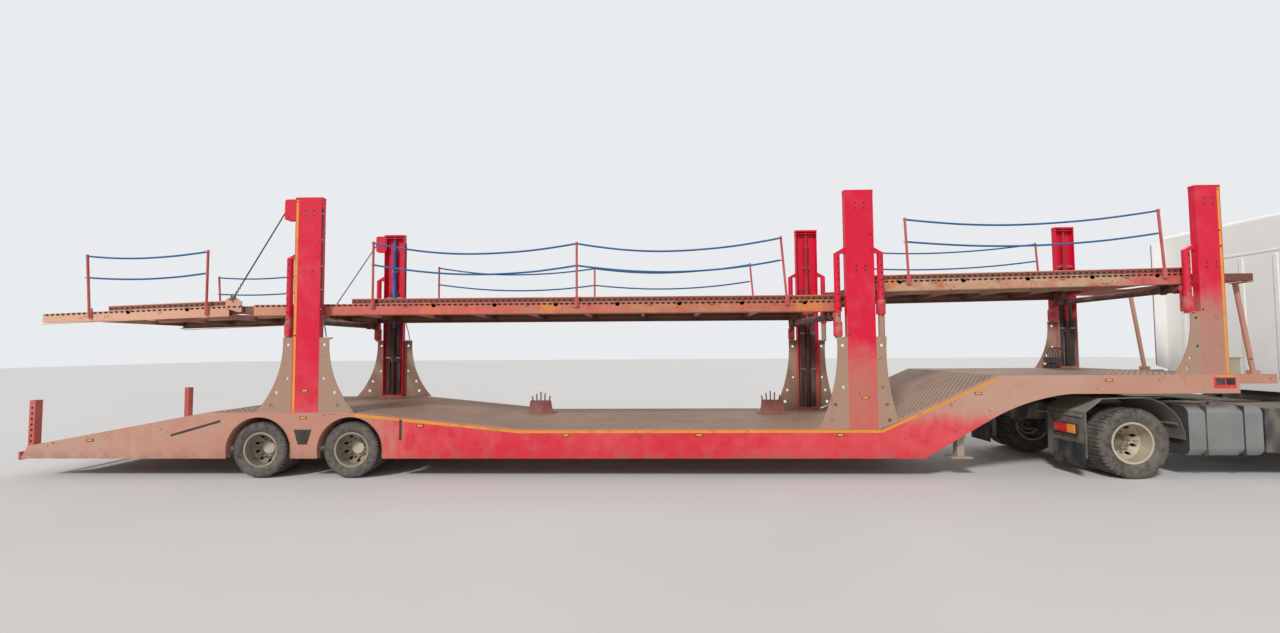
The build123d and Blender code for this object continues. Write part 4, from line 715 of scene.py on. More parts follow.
def cylinder_paint():
    """Lift cylinders: blue in the rear posts, red in the others, oily and dark lower down."""
    blues = (0.02, 0.12, 0.42), (0.04, 0.17, 0.48)
    finish = plain_coat("cylinder_paint", *blues, (0.34, 0.34, 0.36), 0.35, 0.1, 0.5)
    cloud = finish.noise(6.0, 4.0)
    red = finish.blend((0.50, 0.015, 0.04), (0.42, 0.06, 0.06), cloud)
    finish.lay(red, finish.x.between(at(8.0), at(8.5)))
    finish.lay((0.045, 0.035, 0.032), 1 - (finish.z + cloud * 0.2).between(2.42, 2.52))
    return finish.set(Base_Color=finish.tint)


def rim_paint():
    """Cream paint of the rims, browned round the trailer's and oily at the drive axle's hubs."""
    finish = plain_coat("rim_paint", "rim", (0.46, 0.39, 0.29), (0.30, 0.23, 0.16), 0.5, 0.1, 0.8)
    rear, fore = [from_axle(finish, axle, TRAILER_TYRE) for axle in (REAR_AXLE, FORE_AXLE)]
    trailer = rear.least(fore)
    stain = finish.noise(7.0, 4.0).between(0.3, 0.7) * 0.3 + 0.4
    ring = trailer.between(0.17, 0.22) * (1 - finish.x.between(at(6.0), at(6.5)))
    finish.lay((0.17, 0.145, 0.115), ring * stain)
    hub = 1 - from_axle(finish, DRIVE_AXLE, TRACTOR_TYRE).between(0.100, 0.118)
    finish.lay((0.035, 0.032, 0.03), hub * (stain + 0.25))
    return finish.set(Base_Color=finish.tint)


def rope_blue():
    """Laid blue rope, greyed by dust."""
    finish = Finish("blue_rope")
    strands = (finish.x * 420.0 + finish.z * 300.0 + finish.y * 300.0).sine() * 0.5 + 0.5
    wear = finish.noise(4.0, 4.0).between(0.4, 0.72)
    finish.tint = finish.blend((0.018, 0.095, 0.26), (0.04, 0.17, 0.40), strands)
    finish.lay((0.13, 0.20, 0.30), wear * 0.4)
    finish.set(Base_Color=finish.tint, Roughness=0.85)
    finish.bump(strands, 0.8, 0.002)
    return finish


def glass_tint():
    """Smoked glass with a film of dust towards its lower edge."""
    finish = Finish("smoked_glass")
    film = finish.noise(3.0, 5.0).between(0.45, 0.8)
    finish.tint = finish.blend((0.035, 0.045, 0.05), (0.20, 0.19, 0.17), film * 0.35)
    finish.set(Base_Color=finish.tint, Roughness=film * 0.2 + 0.05, Alpha=film * 0.15 + 0.62, IOR=1.45)
    return finish


def lens_coat(name, lens):
    """Lamp lens with fine ribs inside."""
    finish = Finish(name)
    lens = colour(lens)
    ribs = (finish.x * 900.0).sine() * 0.5 + 0.5
    dust = finish.noise(12.0, 4.0).between(0.5, 0.8)
    bright = tuple(min(1.0, part * 1.5 + 0.03) for part in lens)
    finish.tint = finish.blend(finish.blend(lens, bright, ribs), (0.42, 0.36, 0.30), dust * 0.45)
    finish.set(Base_Color=finish.tint, Roughness=dust * 0.3 + 0.12, Coat_Weight=0.4)
    finish.bump(ribs, 0.2, 0.0006)
    return finish


# Sizes and colours that a user would change


def length_property(name, description, default):
    """A length in metres."""
    return bpy.props.FloatProperty(
        name=name, description=description, default=default, min=0.0, unit="LENGTH",
    )


def colour_property(name, description, default):
    """A colour."""
    return bpy.props.FloatVectorProperty(
        name=name, description=description, default=default, subtype="COLOR", min=0.0, max=1.0
    )


class TransporterSizes(bpy.types.PropertyGroup):
    """Sizes of the fittings that dress the transporter."""

    rope_diameter: length_property("Rope diameter", "Thickness of the guard ropes", 0.028)
    rope_drop: length_property("Rope drop", "Distance of the lower rope below a stanchion's head", 0.36)
    tape_width: length_property("Tape width", "Width of the reflective tape", 0.040)


class TransporterColours(bpy.types.PropertyGroup):
    """Colours of the fittings that dress the transporter."""

    lamp_red: colour_property("Lamp red", "Lens of the rear lamps", (0.55, 0.012, 0.012))
    lamp_amber: colour_property("Lamp amber", "Lens of the side markers", (0.85, 0.24, 0.01))
    dust: colour_property("Dust", "Road dust on the running gear", (0.36, 0.30, 0.24))
    rim: colour_property("Rim", "Paint of the wheel rims", (0.62, 0.54, 0.42))
    cab: colour_property("Cab", "Paint of the cab", (0.91, 0.91, 0.88))


def colour(value):
    """A colour itself, or the user's colour of that name."""
    if isinstance(value, str):
        return tuple(getattr(bpy.context.scene.transporter_colours, value))
    return value


def size(name):
    """One of the user's sizes."""
    return getattr(bpy.context.scene.transporter_sizes, name)


FINISHES = {}


def finish_of(name):
    """Material of a finish, made the first time it is asked for."""
    if name not in FINISHES:
        maker, *values = MAKERS[name]
        FINISHES[name] = maker(*values).material
    return FINISHES[name]


# Finishes: what makes each and its values. For a plain coat these are the material's name, its colour, second
# tone and dust, its roughness, how metallic and how dusty it is, and its grain
MAKERS = {
    "trailer": (trailer_red,),
    "posts": (post_red,),
    "lifts": (lift_paint,),
    "tail": (
        plain_coat, "tail_bar_red", (0.55, 0.06, 0.065), (0.58, 0.17, 0.14), (0.40, 0.22, 0.16), 0.5, 0.0,
        0.5,
    ),
    "decks": (deck_red,),
    "floor": (grid_floor,),
    "tape": (tape_yellow,),
    "rope": (rope_blue,),
    "stanchions": (
        plain_coat, "stanchion_red", (0.50, 0.05, 0.06), (0.58, 0.15, 0.13), (0.42, 0.22, 0.16), 0.45, 0.0,
        0.55, 90.0,
    ),
    "rubber": (
        plain_coat, "black_rubber", (0.022, 0.022, 0.023), (0.04, 0.04, 0.04), "dust", 0.75, 0.0, 0.6, 200.0,
    ),
    "mirror": (
        plain_coat, "mirror_glass", (0.62, 0.65, 0.68), (0.55, 0.58, 0.60), (0.40, 0.38, 0.34), 0.06, 0.95,
        0.25, 20.0,
    ),
    "glass": (glass_tint,),
    "under": (
        plain_coat, "under_frame_paint", (0.30, 0.08, 0.07), (0.38, 0.17, 0.13), (0.40, 0.30, 0.24), 0.6, 0.0,
        0.8,
    ),
    "cylinders": (cylinder_paint,),
    "axles": (plain_coat, "axle_paint", (0.05, 0.047, 0.045), (0.12, 0.10, 0.085), "dust", 0.6, 0.1, 0.9),
    "steel": (
        plain_coat, "worn_steel", (0.28, 0.27, 0.26), (0.17, 0.13, 0.11), (0.36, 0.30, 0.25), 0.38, 0.8, 0.5,
        110.0,
    ),
    "grease": (
        plain_coat, "greased_steel", (0.05, 0.045, 0.04), (0.10, 0.085, 0.07), (0.22, 0.19, 0.16), 0.3, 0.6,
        0.4,
    ),
    "guards": (
        plain_coat, "guard_plastic", (0.12, 0.117, 0.102), (0.19, 0.178, 0.15), (0.33, 0.30, 0.235), 0.55,
        0.0, 0.85, 240.0,
    ),
    "locker": (plain_coat, "locker_paint", (0.42, 0.36, 0.27), (0.33, 0.27, 0.20), "dust", 0.45, 0.0, 0.6),
    "chassis": (
        plain_coat, "chassis_black", (0.028, 0.028, 0.03), (0.06, 0.058, 0.055), "dust", 0.5, 0.0, 0.8,
    ),
    "plastic": (
        plain_coat, "grained_plastic", (0.045, 0.046, 0.048), (0.075, 0.075, 0.075), "dust", 0.55, 0.0, 0.75,
        240.0,
    ),
    "tank": (
        plain_coat, "tank_alloy", (0.34, 0.35, 0.35), (0.26, 0.26, 0.255), "dust", 0.35, 0.85, 0.55, 90.0,
    ),
    "rims": (rim_paint,),
    "cab": (plain_coat, "cab_gloss", "cab", (0.88, 0.875, 0.84), (0.70, 0.66, 0.58), 0.22, 0.0, 0.25, 30.0),
    "trim": (
        plain_coat, "cab_trim", (0.05, 0.05, 0.055), (0.09, 0.088, 0.085), (0.24, 0.21, 0.18), 0.7, 0.0, 0.3,
        300.0,
    ),
    "seat": (
        plain_coat, "seat_cloth", (0.035, 0.045, 0.07), (0.06, 0.07, 0.10), (0.20, 0.19, 0.18), 0.9, 0.0, 0.3,
        420.0,
    ),
    "lamp_red": (lens_coat, "red_lens", "lamp_red"),
    "lamp_amber": (lens_coat, "amber_lens", "lamp_amber"),
    "lamp_clear": (lens_coat, "clear_lens", (0.55, 0.57, 0.58)),
    "trailer_tyres_rear": (tyre_rubber, "tyre_rear_axle", REAR_AXLE, TRAILER_TYRE, 54),
    "trailer_tyres_fore": (tyre_rubber, "tyre_fore_axle", FORE_AXLE, TRAILER_TYRE, 54),
    "drive_tyres": (tyre_rubber, "tyre_drive_axle", DRIVE_AXLE, TRACTOR_TYRE, 50),
    "steer_tyres": (tyre_rubber, "tyre_steer_axle", STEER_AXLE, TRACTOR_TYRE, 64),
}

NODE_FINISHES = {
    "trailer": ("side_beams", "nose_frame"),
    "tail": ("tail_frame",),
    "under": ("floor_cross_members", "long_beams", "main_cross_members", "tail_cross_members"),
    "floor": ("car_floor",),
    "posts": ("rear_posts", "mid_posts", "front_posts"),
    "lifts": ("rear_lift_beam", "main_lift_beam", "front_lift_beam", "fore_lift_beam"),
    "decks": ("main_deck", "tail_deck", "front_deck", "front_cross_members"),
    "stanchions": ("main_stanchions", "tail_stanchions", "front_stanchions"),
    "cylinders": ("lift_cylinders",),
    "steel": ("lift_cables", "fifth_wheel"),
    "locker": ("landing_legs",),
    "axles": ("trailer_axles", "tractor_axles", "knuckle_left", "knuckle_right", "engine"),
    "chassis": ("chassis", "chassis_cross_members"),
    "guards": ("mudguards",),
    "plastic": ("side_lockers", "bumper"),
    "tank": ("fuel_tank",),
    "cab": ("cab_shell", "door_left", "door_right"),
    "glass": ("windscreen", "door_glass_left", "door_glass_right"),
    "trim": ("cab_interior",),
    "rims": (
        "rear_rims_left", "rear_rims_right", "fore_rims_left", "fore_rims_right",
        "drive_rims_left", "drive_rims_right", "steer_rim_left", "steer_rim_right",
    ),
    "trailer_tyres_rear": ("rear_tyres_left", "rear_tyres_right"),
    "trailer_tyres_fore": ("fore_tyres_left", "fore_tyres_right"),
    "drive_tyres": ("drive_tyres_left", "drive_tyres_right"),
    "steer_tyres": ("steer_tyre_left", "steer_tyre_right"),
}


class TRANSPORTER_OT_stage(bpy.types.Operator):
    """Lay the pale floor, set the soft lights and place the camera"""

    bl_idname = "transporter.stage"
    bl_label = "Stage and camera"

    def execute(self, context):
        scene = context.scene
        scene.view_settings.view_transform = "Standard"
        clear()
        bpy.ops.mesh.primitive_grid_add(x_subdivisions=8, y_subdivisions=8, size=160, location=(0, 0, 0))
        floor = settle(context.object, "pale_floor")
        ground = Finish("pale_ground")
        cloud = ground.noise(0.25, 4.0)
        ground.set(Base_Color=ground.blend((0.62, 0.61, 0.60), (0.67, 0.66, 0.645), cloud), Roughness=0.85)
        ground.bump(ground.noise(90.0, 3.0), 0.15, 0.002)
        floor.data.materials.append(ground.material)
        for name, power, spread, lean, turn in (
            ("soft_key", 2.2, 9, 52, -34), ("soft_back", 0.5, 25, 60, 150),
        ):
            clear()
            bpy.ops.object.light_add(type="SUN", rotation=(math.radians(lean), 0, math.radians(turn)))
            context.object.name = name
            context.object.data.energy, context.object.data.angle = power, math.radians(spread)
        world = bpy.data.worlds.new("pale_surround")
        world.use_nodes = True
        tree = world.node_tree
        light = tree.nodes["Background"]
        light.inputs["Color"].default_value = (1.0, 0.99, 0.98, 1)
        light.inputs["Strength"].default_value = 0.5
        shown = node(tree, "ShaderNodeBackground", {}, {"Color": (0.86, 0.88, 0.90, 1), "Strength": 0.95})
        ray = tree.nodes.new("ShaderNodeLightPath")
        kinds = ("Is Camera Ray", "Is Glossy Ray", "Is Transmission Ray")
        seen, glossy, through = [Signal(tree, ray.outputs[kind]) for kind in kinds]
        share = seen.most(glossy.most(through))
        mixed = node(tree, "ShaderNodeMixShader", {}, {0: share, 1: Signal(tree, light.outputs[0]), 2: shown})
        tree.links.new(mixed.socket, tree.nodes["World Output"].inputs["Surface"])
        scene.world = world
        clear()
        bpy.ops.object.camera_add(location=CAMERA_PLACE)
        camera = context.object
        camera.name = "photo_view"
        turn = Matrix.Identity(3)
        for angle, axis in ((CAMERA_PAN, "Z"), (CAMERA_TILT, "X"), (CAMERA_ROLL, "Z")):
            turn = turn @ Matrix.Rotation(math.radians(angle), 3, axis)
        camera.rotation_euler = turn.to_euler()
        camera.data.sensor_width, camera.data.lens = 36.0, CAMERA_LENS
        camera.data.shift_y = CAMERA_SHIFT
        camera.data.clip_end = 300.0
        scene.camera = camera
        return {"FINISHED"}


class TRANSPORTER_OT_paint(bpy.types.Operator):
    """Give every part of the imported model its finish"""

    bl_idname = "transporter.paint"
    bl_label = "Finishes of the frame"

    def execute(self, context):
        for finish, names in NODE_FINISHES.items():
            for name in names:
                coat(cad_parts[name], finish)
        bare = set(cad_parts) - {name for names in NODE_FINISHES.values() for name in names}
        if bare:
            raise RuntimeError(f"parts without a finish: {sorted(bare)}")
        return {"FINISHED"}


# Stanchions of each upper deck: body, then place of head, height of head, sag of the ropes ahead of it
STANCHIONS = {
    "upper_tail_deck": ((at(0.800), 3.40, 0.063), (at(2.710), 3.45, 0.0)),
    "upper_main_deck": ((at(5.290), 3.55, 0.161), (at(8.400), 3.51, 0.153), (at(11.456), 3.56, 0.0)),
    "upper_front_deck": ((at(13.290), 3.816, 0.138), (at(16.960), 3.90, 0.0)),
}
STANCHION_Y = DECK_HALF_WIDTH + 0.018
STANCHION_RADIUS = 0.017
TOP_ROPE_DROP = 0.028


class TRANSPORTER_OT_ropes(bpy.types.Operator):
    """Hang the guard ropes between the stanchions, with their eyes"""

    bl_idname = "transporter.ropes"
    bl_label = "Guard ropes"

    def execute(self, context):
        drops = (TOP_ROPE_DROP, size("rope_drop"))
        for body, heads in STANCHIONS.items():
            for side, side_name in ((-1, "right"), (1, "left")):
                y = side * STANCHION_Y
                for bay, (rear, fore) in enumerate(zip(heads, heads[1:])):
                    for level, drop in enumerate(drops):
                        start = Vector((rear[0] + STANCHION_RADIUS, y, rear[1] - drop))
                        end = Vector((fore[0] - STANCHION_RADIUS, y, fore[1] - drop))
                        sag = rear[2] * (1.0, 0.88)[level] * (1.0, 0.8)[side > 0]
                        name = f"rope_{body[6:]}_{side_name}_{bay}_{level}"
                        self.hang(name, start, end, sag, body, 0.47 + 0.04 * level)
            eyes = []
            for side in (-1, 1):
                for place, height, _ in heads:
                    eyes += [self.eye((place, side * STANCHION_Y, height - drop)) for drop in drops]
            dress(eyes, f"rope_eyes_{body[6:]}", body, "decks", both=False)
        return {"FINISHED"}

    def hang(self, name, start, end, sag, body, lowest):
        """One rope with its own weight, lowest a little off its middle."""
        diameter = size("rope_diameter")
        places = []
        for share in (0.0, 0.06, lowest * 0.55, lowest, (1 + lowest) / 2, 0.94, 1.0):
            fall = 1 - ((share - lowest) / (lowest if share < lowest else 1 - lowest)) ** 2
            places.append(start.lerp(end, share) - Vector((0, 0, sag * 1.04 * fall)))
        rope = curve_through(name, places, diameter / 2, 8, 3)
        rope.data.materials.append(finish_of("rope"))
        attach(rope, body)
        span = (end - start).length
        span * (1 + 8 / 3 * (sag / span) ** 2)

    def eye(self, place):
        """Ring round a stanchion that takes a rope."""
        return torus("rope_eye", place, STANCHION_RADIUS + 0.004, 0.006, 16)


# Top edge of the side beams: station and height
BEAM_EDGE = (
    (0.14, 0.49), (2.85, 0.975), (5.0, 0.975), (7.58, 0.715), (12.83, 0.715), (14.52, 1.48), (17.85, 1.48),
)
TAPE_THICKNESS = 0.0012


def edge_height(station):
    """Height of the side beams' top edge at a station."""
    for (station_a, height_a), (station_b, height_b) in zip(BEAM_EDGE, BEAM_EDGE[1:]):
        if station <= station_b:
            return height_a + (station - station_a) / (station_b - station_a) * (height_b - height_a)
    return BEAM_EDGE[-1][1]


class TRANSPORTER_OT_tape(bpy.types.Operator):
    """Stick the reflective tape along the side beams and up the end posts"""

    bl_idname = "transporter.tape"
    bl_label = "Reflective tape"

    def execute(self, context):
        width = size("tape_width")
        stations = (5.12, 7.58, 12.83, 14.46)
        edge = [(at(station), SKIN, edge_height(station) - 0.008) for station in stations]
        strips = [band("tape_edge", edge, (0, 0, -width), TAPE_THICKNESS, 1)]
        for x, foot in ((REAR_POST - 0.195, 0.985), (FRONT_POST + 0.170 - width, 1.50)):
            run = [(x, SKIN, foot), (x, SKIN, POST_TOP - 0.01)]
            strips.append(band("tape_post", run, (width, 0, 0), TAPE_THICKNESS, -1))
        run = [(at(17.56), SKIN, 1.474), (at(17.78), SKIN, 1.474)]
        strips.append(band("tape_neck", run, (0, 0, -0.03), TAPE_THICKNESS, 1))
        dress(strips, "reflective_tape", "trailer", "tape")
        return {"FINISHED"}


# Dark plates that paint the shade in the slots and in the pocket between the wheels: station and height of
# each corner
SLOT_SHADE_OUTLINES = (
    ((2.34, 0.66 - 0.035), (2.34, 0.66), (3.09, 0.87), (3.09, 0.87 - 0.035)),
    ((5.79, 0.87 - 0.30), (5.79, 0.87), (5.83, 0.87), (5.83, 0.87 - 0.30)),
    ((4.27, 0.505), (4.205, 0.725), (4.475, 0.725), (4.41, 0.505)),
)


class TRANSPORTER_OT_markers(bpy.types.Operator):
    """Fit the side markers, the corner lamps and dark plates painted as shade in the beams' slots"""

    bl_idname = "transporter.markers"
    bl_label = "Marker lamps"

    def execute(self, context):
        lens = block("marker_lens", (-0.040, SKIN - 0.004, -0.014), (0.040, SKIN + 0.007, 0.014), 0.005)
        base = block("marker_base", (-0.055, SKIN - 0.006, -0.022), (0.055, SKIN + 0.003, 0.022), 0.003)
        drops = (
            (1.1, 0.09), (4.345, 0.075), (6.1, 0.085), (8.26, 0.078), (10.2, 0.078), (12.23, 0.078),
            (14.2, 0.11), (16.04, 0.075),
        )
        places = [(at(station), 0, edge_height(station) - drop) for station, drop in drops]
        places += [(MID_POST + 0.03, 0, 1.17), (REAR_POST, 0, 1.30)]
        fit(both_sides(row(lens, "marker_lenses", places)), "trailer", "lamp_amber")
        fit(both_sides(row(base, "marker_bases", places)), "trailer", "plastic")
        bar = block("corner_frame", (at(17.49), SKIN - 0.01, 1.285), (at(17.80), SKIN + 0.004, 1.445), 0.006)
        fit(both_sides(bar), "trailer", "lamp_red")
        glass = []
        for rear, fore in ((17.52, 17.64), (17.655, 17.78)):
            glass.append(
                block("corner_glass", (at(rear), SKIN, 1.335), (at(fore), SKIN + 0.008, 1.43), 0.008)
            )
        dress(glass, "corner_lamps", "trailer", "rubber")
        # Painted shade: thin flat dark plates stand in for the shade inside the slots and the pocket between
        # the wheels.
        slot_shades = []
        for outline in SLOT_SHADE_OUTLINES:
            corners = [(at(station), SKIN + 0.0005, height) for station, height in outline]
            slot_shades.append(plate("beam_slot", corners, 0.0008))
        dress(slot_shades, "beam_slots", "trailer", "grease")
        return {"FINISHED"}


# Upper decks: body, first and last station, height of the channel's top at each, and the first station of the
# edge strip
DECKS = (
    ("upper_tail_deck", 0.11, 3.05, 2.485, 2.590, 1.11),
    ("upper_main_deck", 3.44, 12.345, 2.600, 2.600, 4.94),
    ("upper_front_deck", 12.795, 17.35, 2.885, 2.960, 12.855),
)


def deck_top(deck, station):
    """Height of a deck's side channel at a station."""
    _, first, last, top_first, top_last, _ = deck
    return top_first + (station - first) / (last - first) * (top_last - top_first)


class TRANSPORTER_OT_deck_fittings(bpy.types.Operator):
    """Weld the small gussets, hooks and rolled edges along the upper decks"""

    bl_idname = "transporter.deck_fittings"
    bl_label = "Deck fittings"

    def execute(self, context):
        y = DECK_HALF_WIDTH
        for deck in DECKS:
            body, first, last, _, _, strip = deck
            stations = [strip + 0.35 + 0.93 * index for index in range(12)]
            stations = [station for station in stations if station < last - 0.2]
            outline = [(-0.062, y, 0.004), (0.062, y, 0.004), (0.020, y, -0.062), (-0.020, y, -0.062)]
            gusset = plate("edge_gusset", outline, -0.018, 0.002)
            bends = [
                (0, y - 0.002, -0.03), (0.0, y + 0.02, -0.035), (0.045, y + 0.022, -0.04),
                (0.06, y + 0.02, -0.005),
            ]
            hook = pipe("tie_hook", bends, 0.006)
            places = [(at(station), 0, deck_top(deck, station)) for station in stations]
            parts = [row(gusset, "gussets", places)]
            places = [(at(station + 0.46), 0, deck_top(deck, station)) for station in stations[:-1]]
            parts.append(row(hook, "hooks", places))
            for start, reach, height, radius in (
                (strip, -0.034, 0.075, 0.008), (first, 0.001, -0.012, 0.006), (first, 0.001, -0.158, 0.006),
            ):
                run = [
                    (at(station), y + reach, deck_top(deck, station) + height)
                    for station in (start, last)
                ]
                parts.append(pipe("rolled_edge", run, radius, smooth=False))
            dress(parts, f"edge_fittings_{body[6:]}", body, "decks")
        return {"FINISHED"}


# Lift posts: place along, half width, height of the foot, height of the gussets' shoulder
POSTS = ((REAR_POST, 0.200, 0.975, 2.07), (MID_POST, 0.205, 0.715, 2.03), (FRONT_POST, 0.175, 1.48, 2.36))


class TRANSPORTER_OT_post_fittings(bpy.types.Operator):
    """Fit the posts' bolts, edges, hoses and lines"""

    bl_idname = "transporter.post_fittings"
    bl_label = "Post fittings"

    def execute(self, context):
        bolt = turned(
            "bolt", (0, SKIN - 0.004, 0), (0, 1, 0),
            [(0.016, 0), (0.016, 0.005), (0.012, 0.006), (0.011, 0.009), (0.006, 0.010)], 6, False,
        )
        places = []
        for centre, half, _, shoulder in POSTS:
            for height in (4.02, 3.94, 3.09, 3.02):
                places += [(centre + reach, 0, height) for reach in (-0.055, 0.075)]
            places += [
                (centre - half + 0.03, 0, shoulder + 0.05), (centre + half - 0.03, 0, 3.32),
                (centre + half - 0.04, 0, 3.55),
            ]
        fit(both_sides(row(bolt, "post_bolts", places)), "trailer", "grease")
        trims = []
        for centre, half, base, _ in POSTS:
            for x in (centre - half + 0.004, centre + half - 0.004):
                run = [(x, SKIN - 0.004, base + 0.01), (x, SKIN - 0.004, POST_TOP)]
                trims.append(pipe("post_edge", run, 0.006, smooth=False))
            low = (centre - half - 0.004, 1.158, POST_TOP - 0.045)
            high = (centre + half + 0.004, SKIN, POST_TOP - 0.030)
            trims.append(block("post_lip", low, high, 0.003))
        dress(trims, "post_edges", "trailer", "posts")
        hoses, clips = [], []
        for centre, _, base, _ in POSTS:
            for index, reach in enumerate((-0.135, -0.105, -0.075, 0.072, 0.098, 0.128)):
                sway = 0.012 * math.sin(2.1 * index + centre)
                top = 3.05 - 0.12 * (index % 3)
                x = centre + reach
                route = [
                    (x, 1.205, base + 0.05), (x + sway, 1.200, base + 0.5),
                    (x - sway, 1.196, (base + top) / 2), (x + sway, 1.200, top - 0.4),
                    (centre + reach * 0.7, 1.205, top),
                ]
                hoses.append(pipe("post_hose", route, 0.011))
            for height in (base + 0.75, base + 1.45, base + 1.95):
                for x in (centre - 0.15, centre + 0.05):
                    clips.append(
                        block("hose_clip", (x, 1.180, height), (x + 0.10, 1.186, height + 0.03), 0.002)
                    )
        dress(hoses, "lift_hoses", "trailer", "plastic")
        dress(clips, "hose_clips", "trailer", "steel")
        x, y = REAR_POST + 0.209, 1.235
        route = [
            (x, y, 4.05), (x, y, 3.3), (x + 0.004, y, 2.75), (x, y, 2.45), (x + 0.07, 1.238, 2.25),
            (x + 0.09, 1.238, 2.10),
        ]
        line = pipe("brake_line", route, 0.008)
        dress([copy_at(line, "line_twin", mirror=True), line], "post_lines", "trailer", "plastic", both=False)
        grips = [
            block("line_grip", (x - 0.010, 1.222, z), (x + 0.010, 1.246, z + 0.018), 0.003)
            for z in (3.95, 3.55, 3.15, 2.8, 2.5)
        ]
        dress(grips, "line_grips", "trailer", "steel")
        return {"FINISHED"}


class TRANSPORTER_OT_lift_cables(bpy.types.Operator):
    """Lay up the wire lift cables with their thimbles, pins and clamps"""

    bl_idname = "transporter.lift_cables"
    bl_label = "Lift cables"

    def execute(self, context):
        low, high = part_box("lift_cables")
        for side, side_name in ((-1, "right"), (1, "left")):
            foot = Vector((low.x + 0.007, side * 1.1445, low.z))
            head = Vector((high.x - 0.007, side * 1.205, high.z))
            along = head - foot
            strands, steps, turns = [], 90, 22
            lay = facing(along)
            for strand in range(3):
                points = []
                for step in range(steps + 1):
                    angle = math.tau * (step / steps * turns + strand / 3)
                    off = lay @ Vector((math.cos(angle), math.sin(angle), 0)) * 0.0052
                    points.append(foot + along * (step / steps) + off)
                strands.append(pipe("strand", points, 0.0055, smooth=False))
            cable = joined(strands, f"wire_cable_{side_name}")
            coat(cable, "grease")
            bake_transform(cable)
            if side < 0:
                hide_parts("lift_cables")
            lug = Vector((at(3.23) - 0.12, side * 1.1435, 2.68))
            up = along.normalized()
            ring = torus("thimble", lug + up * 0.055, 0.036, 0.007, 24, (math.radians(90), 0, 0))
            rings = [
                (0.018, 0), (0.018, 0.008), (0.0115, 0.009), (0.0115, 0.055), (0.017, 0.056), (0.017, 0.066),
            ]
            pin = turned("shackle_pin", lug - Vector((0, side * 0.035, 0)), (0, side, 0), rings, 16)
            half = Vector((0.016, 0.011, 0.012))
            middles = [foot + up * reach for reach in (0.14, 0.21, 0.28)]
            grips = [block("cable_clamp", middle - half, middle + half, 0.004) for middle in middles]
            dress([ring, pin, *grips], f"cable_end_{side_name}", "upper_main_deck", "steel", both=False)
        return {"FINISHED"}


# Axles: their label, place along, tyre radius, rim radius, tyre width, tyres' places across and finish
WHEELS = (
    ("rear", REAR_AXLE, TRAILER_TYRE, 0.248, 0.245, (0.8275, 1.1025), "trailer_tyres_rear"),
    ("fore", FORE_AXLE, TRAILER_TYRE, 0.248, 0.245, (0.8275, 1.1025), "trailer_tyres_fore"),
    ("drive", DRIVE_AXLE, TRACTOR_TYRE, 0.286, 0.315, (0.7375, 1.0825), "drive_tyres"),
    ("steer", STEER_AXLE, TRACTOR_TYRE, 0.286, 0.315, (1.0825,), "steer_tyres"),
)
BOLT_CIRCLE, BOLTS = 0.1375, 10


def name_on(label, thing, side):
    """Name of an axle's tyres, rims or wheels on a side: steered wheels are single, the others twins."""
    return f"{label}_{thing}{'' if label == 'steer' else 's'}_{side}"


def tyre_profile(centre, width, radius, rim):
    """Section of a tyre from bead to bead: bulging walls with ribs, shoulders and a tread with grooves."""
    half = width / 2
    wall = radius - rim
    side = [
        (0.36 * half, rim + 0.004), (0.70 * half, rim + 0.001), (0.78 * half, rim + 0.010),
        (0.90 * half, rim + 0.22 * wall), (0.985 * half, rim + 0.40 * wall),
        (half - 0.001, rim + 0.52 * wall), (0.985 * half, rim + 0.60 * wall),
        (0.99 * half, rim + 0.66 * wall), (0.955 * half, rim + 0.78 * wall),
        (0.90 * half, radius - 0.020), (0.80 * half, radius - 0.011),
    ]
    tread = []
    for groove in (0.50, 0.17):
        tread += [
            ((groove + 0.05) * half, radius - 0.010), ((groove + 0.03) * half, radius - 0.021),
            ((groove - 0.03) * half, radius - 0.021), ((groove - 0.05) * half, radius - 0.010),
        ]
    right = side + tread
    left = [(-across, reach) for across, reach in reversed(right)]
    return [(centre + across, reach) for across, reach in right + left]


class TRANSPORTER_OT_tyres(bpy.types.Operator):
    """Model the tyres with their ribs, grooves and tread lugs"""

    bl_idname = "transporter.tyres"
    bl_label = "Tyres"

    def execute(self, context):
        for label, axle, radius, rim, width, places, finish in WHEELS:
            outer = places[-1]
            pattern = ringed(
                f"{label}_tyre", tyre_profile(outer, width, radius, rim), axle, radius, TREAD_STEPS,
            )
            raise_lugs(pattern, axle, radius, width, outer)
            clear(pattern)
            bpy.ops.object.shade_smooth_by_angle(angle=math.radians(24))
            pair = [pattern] + [
                copy_at(pattern, f"{label}_inner", (0, place - outer, 0))
                for place in places[:-1]
            ]
            left = joined(pair, f"{label}_treads_left")
            right = copy_at(left, f"{label}_treads_right", mirror=True)
            for piece, side in ((left, "left"), (right, "right")):
                fit(piece, name_on(label, "wheel", side), finish)
                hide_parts(name_on(label, "tyre", side))
        return {"FINISHED"}


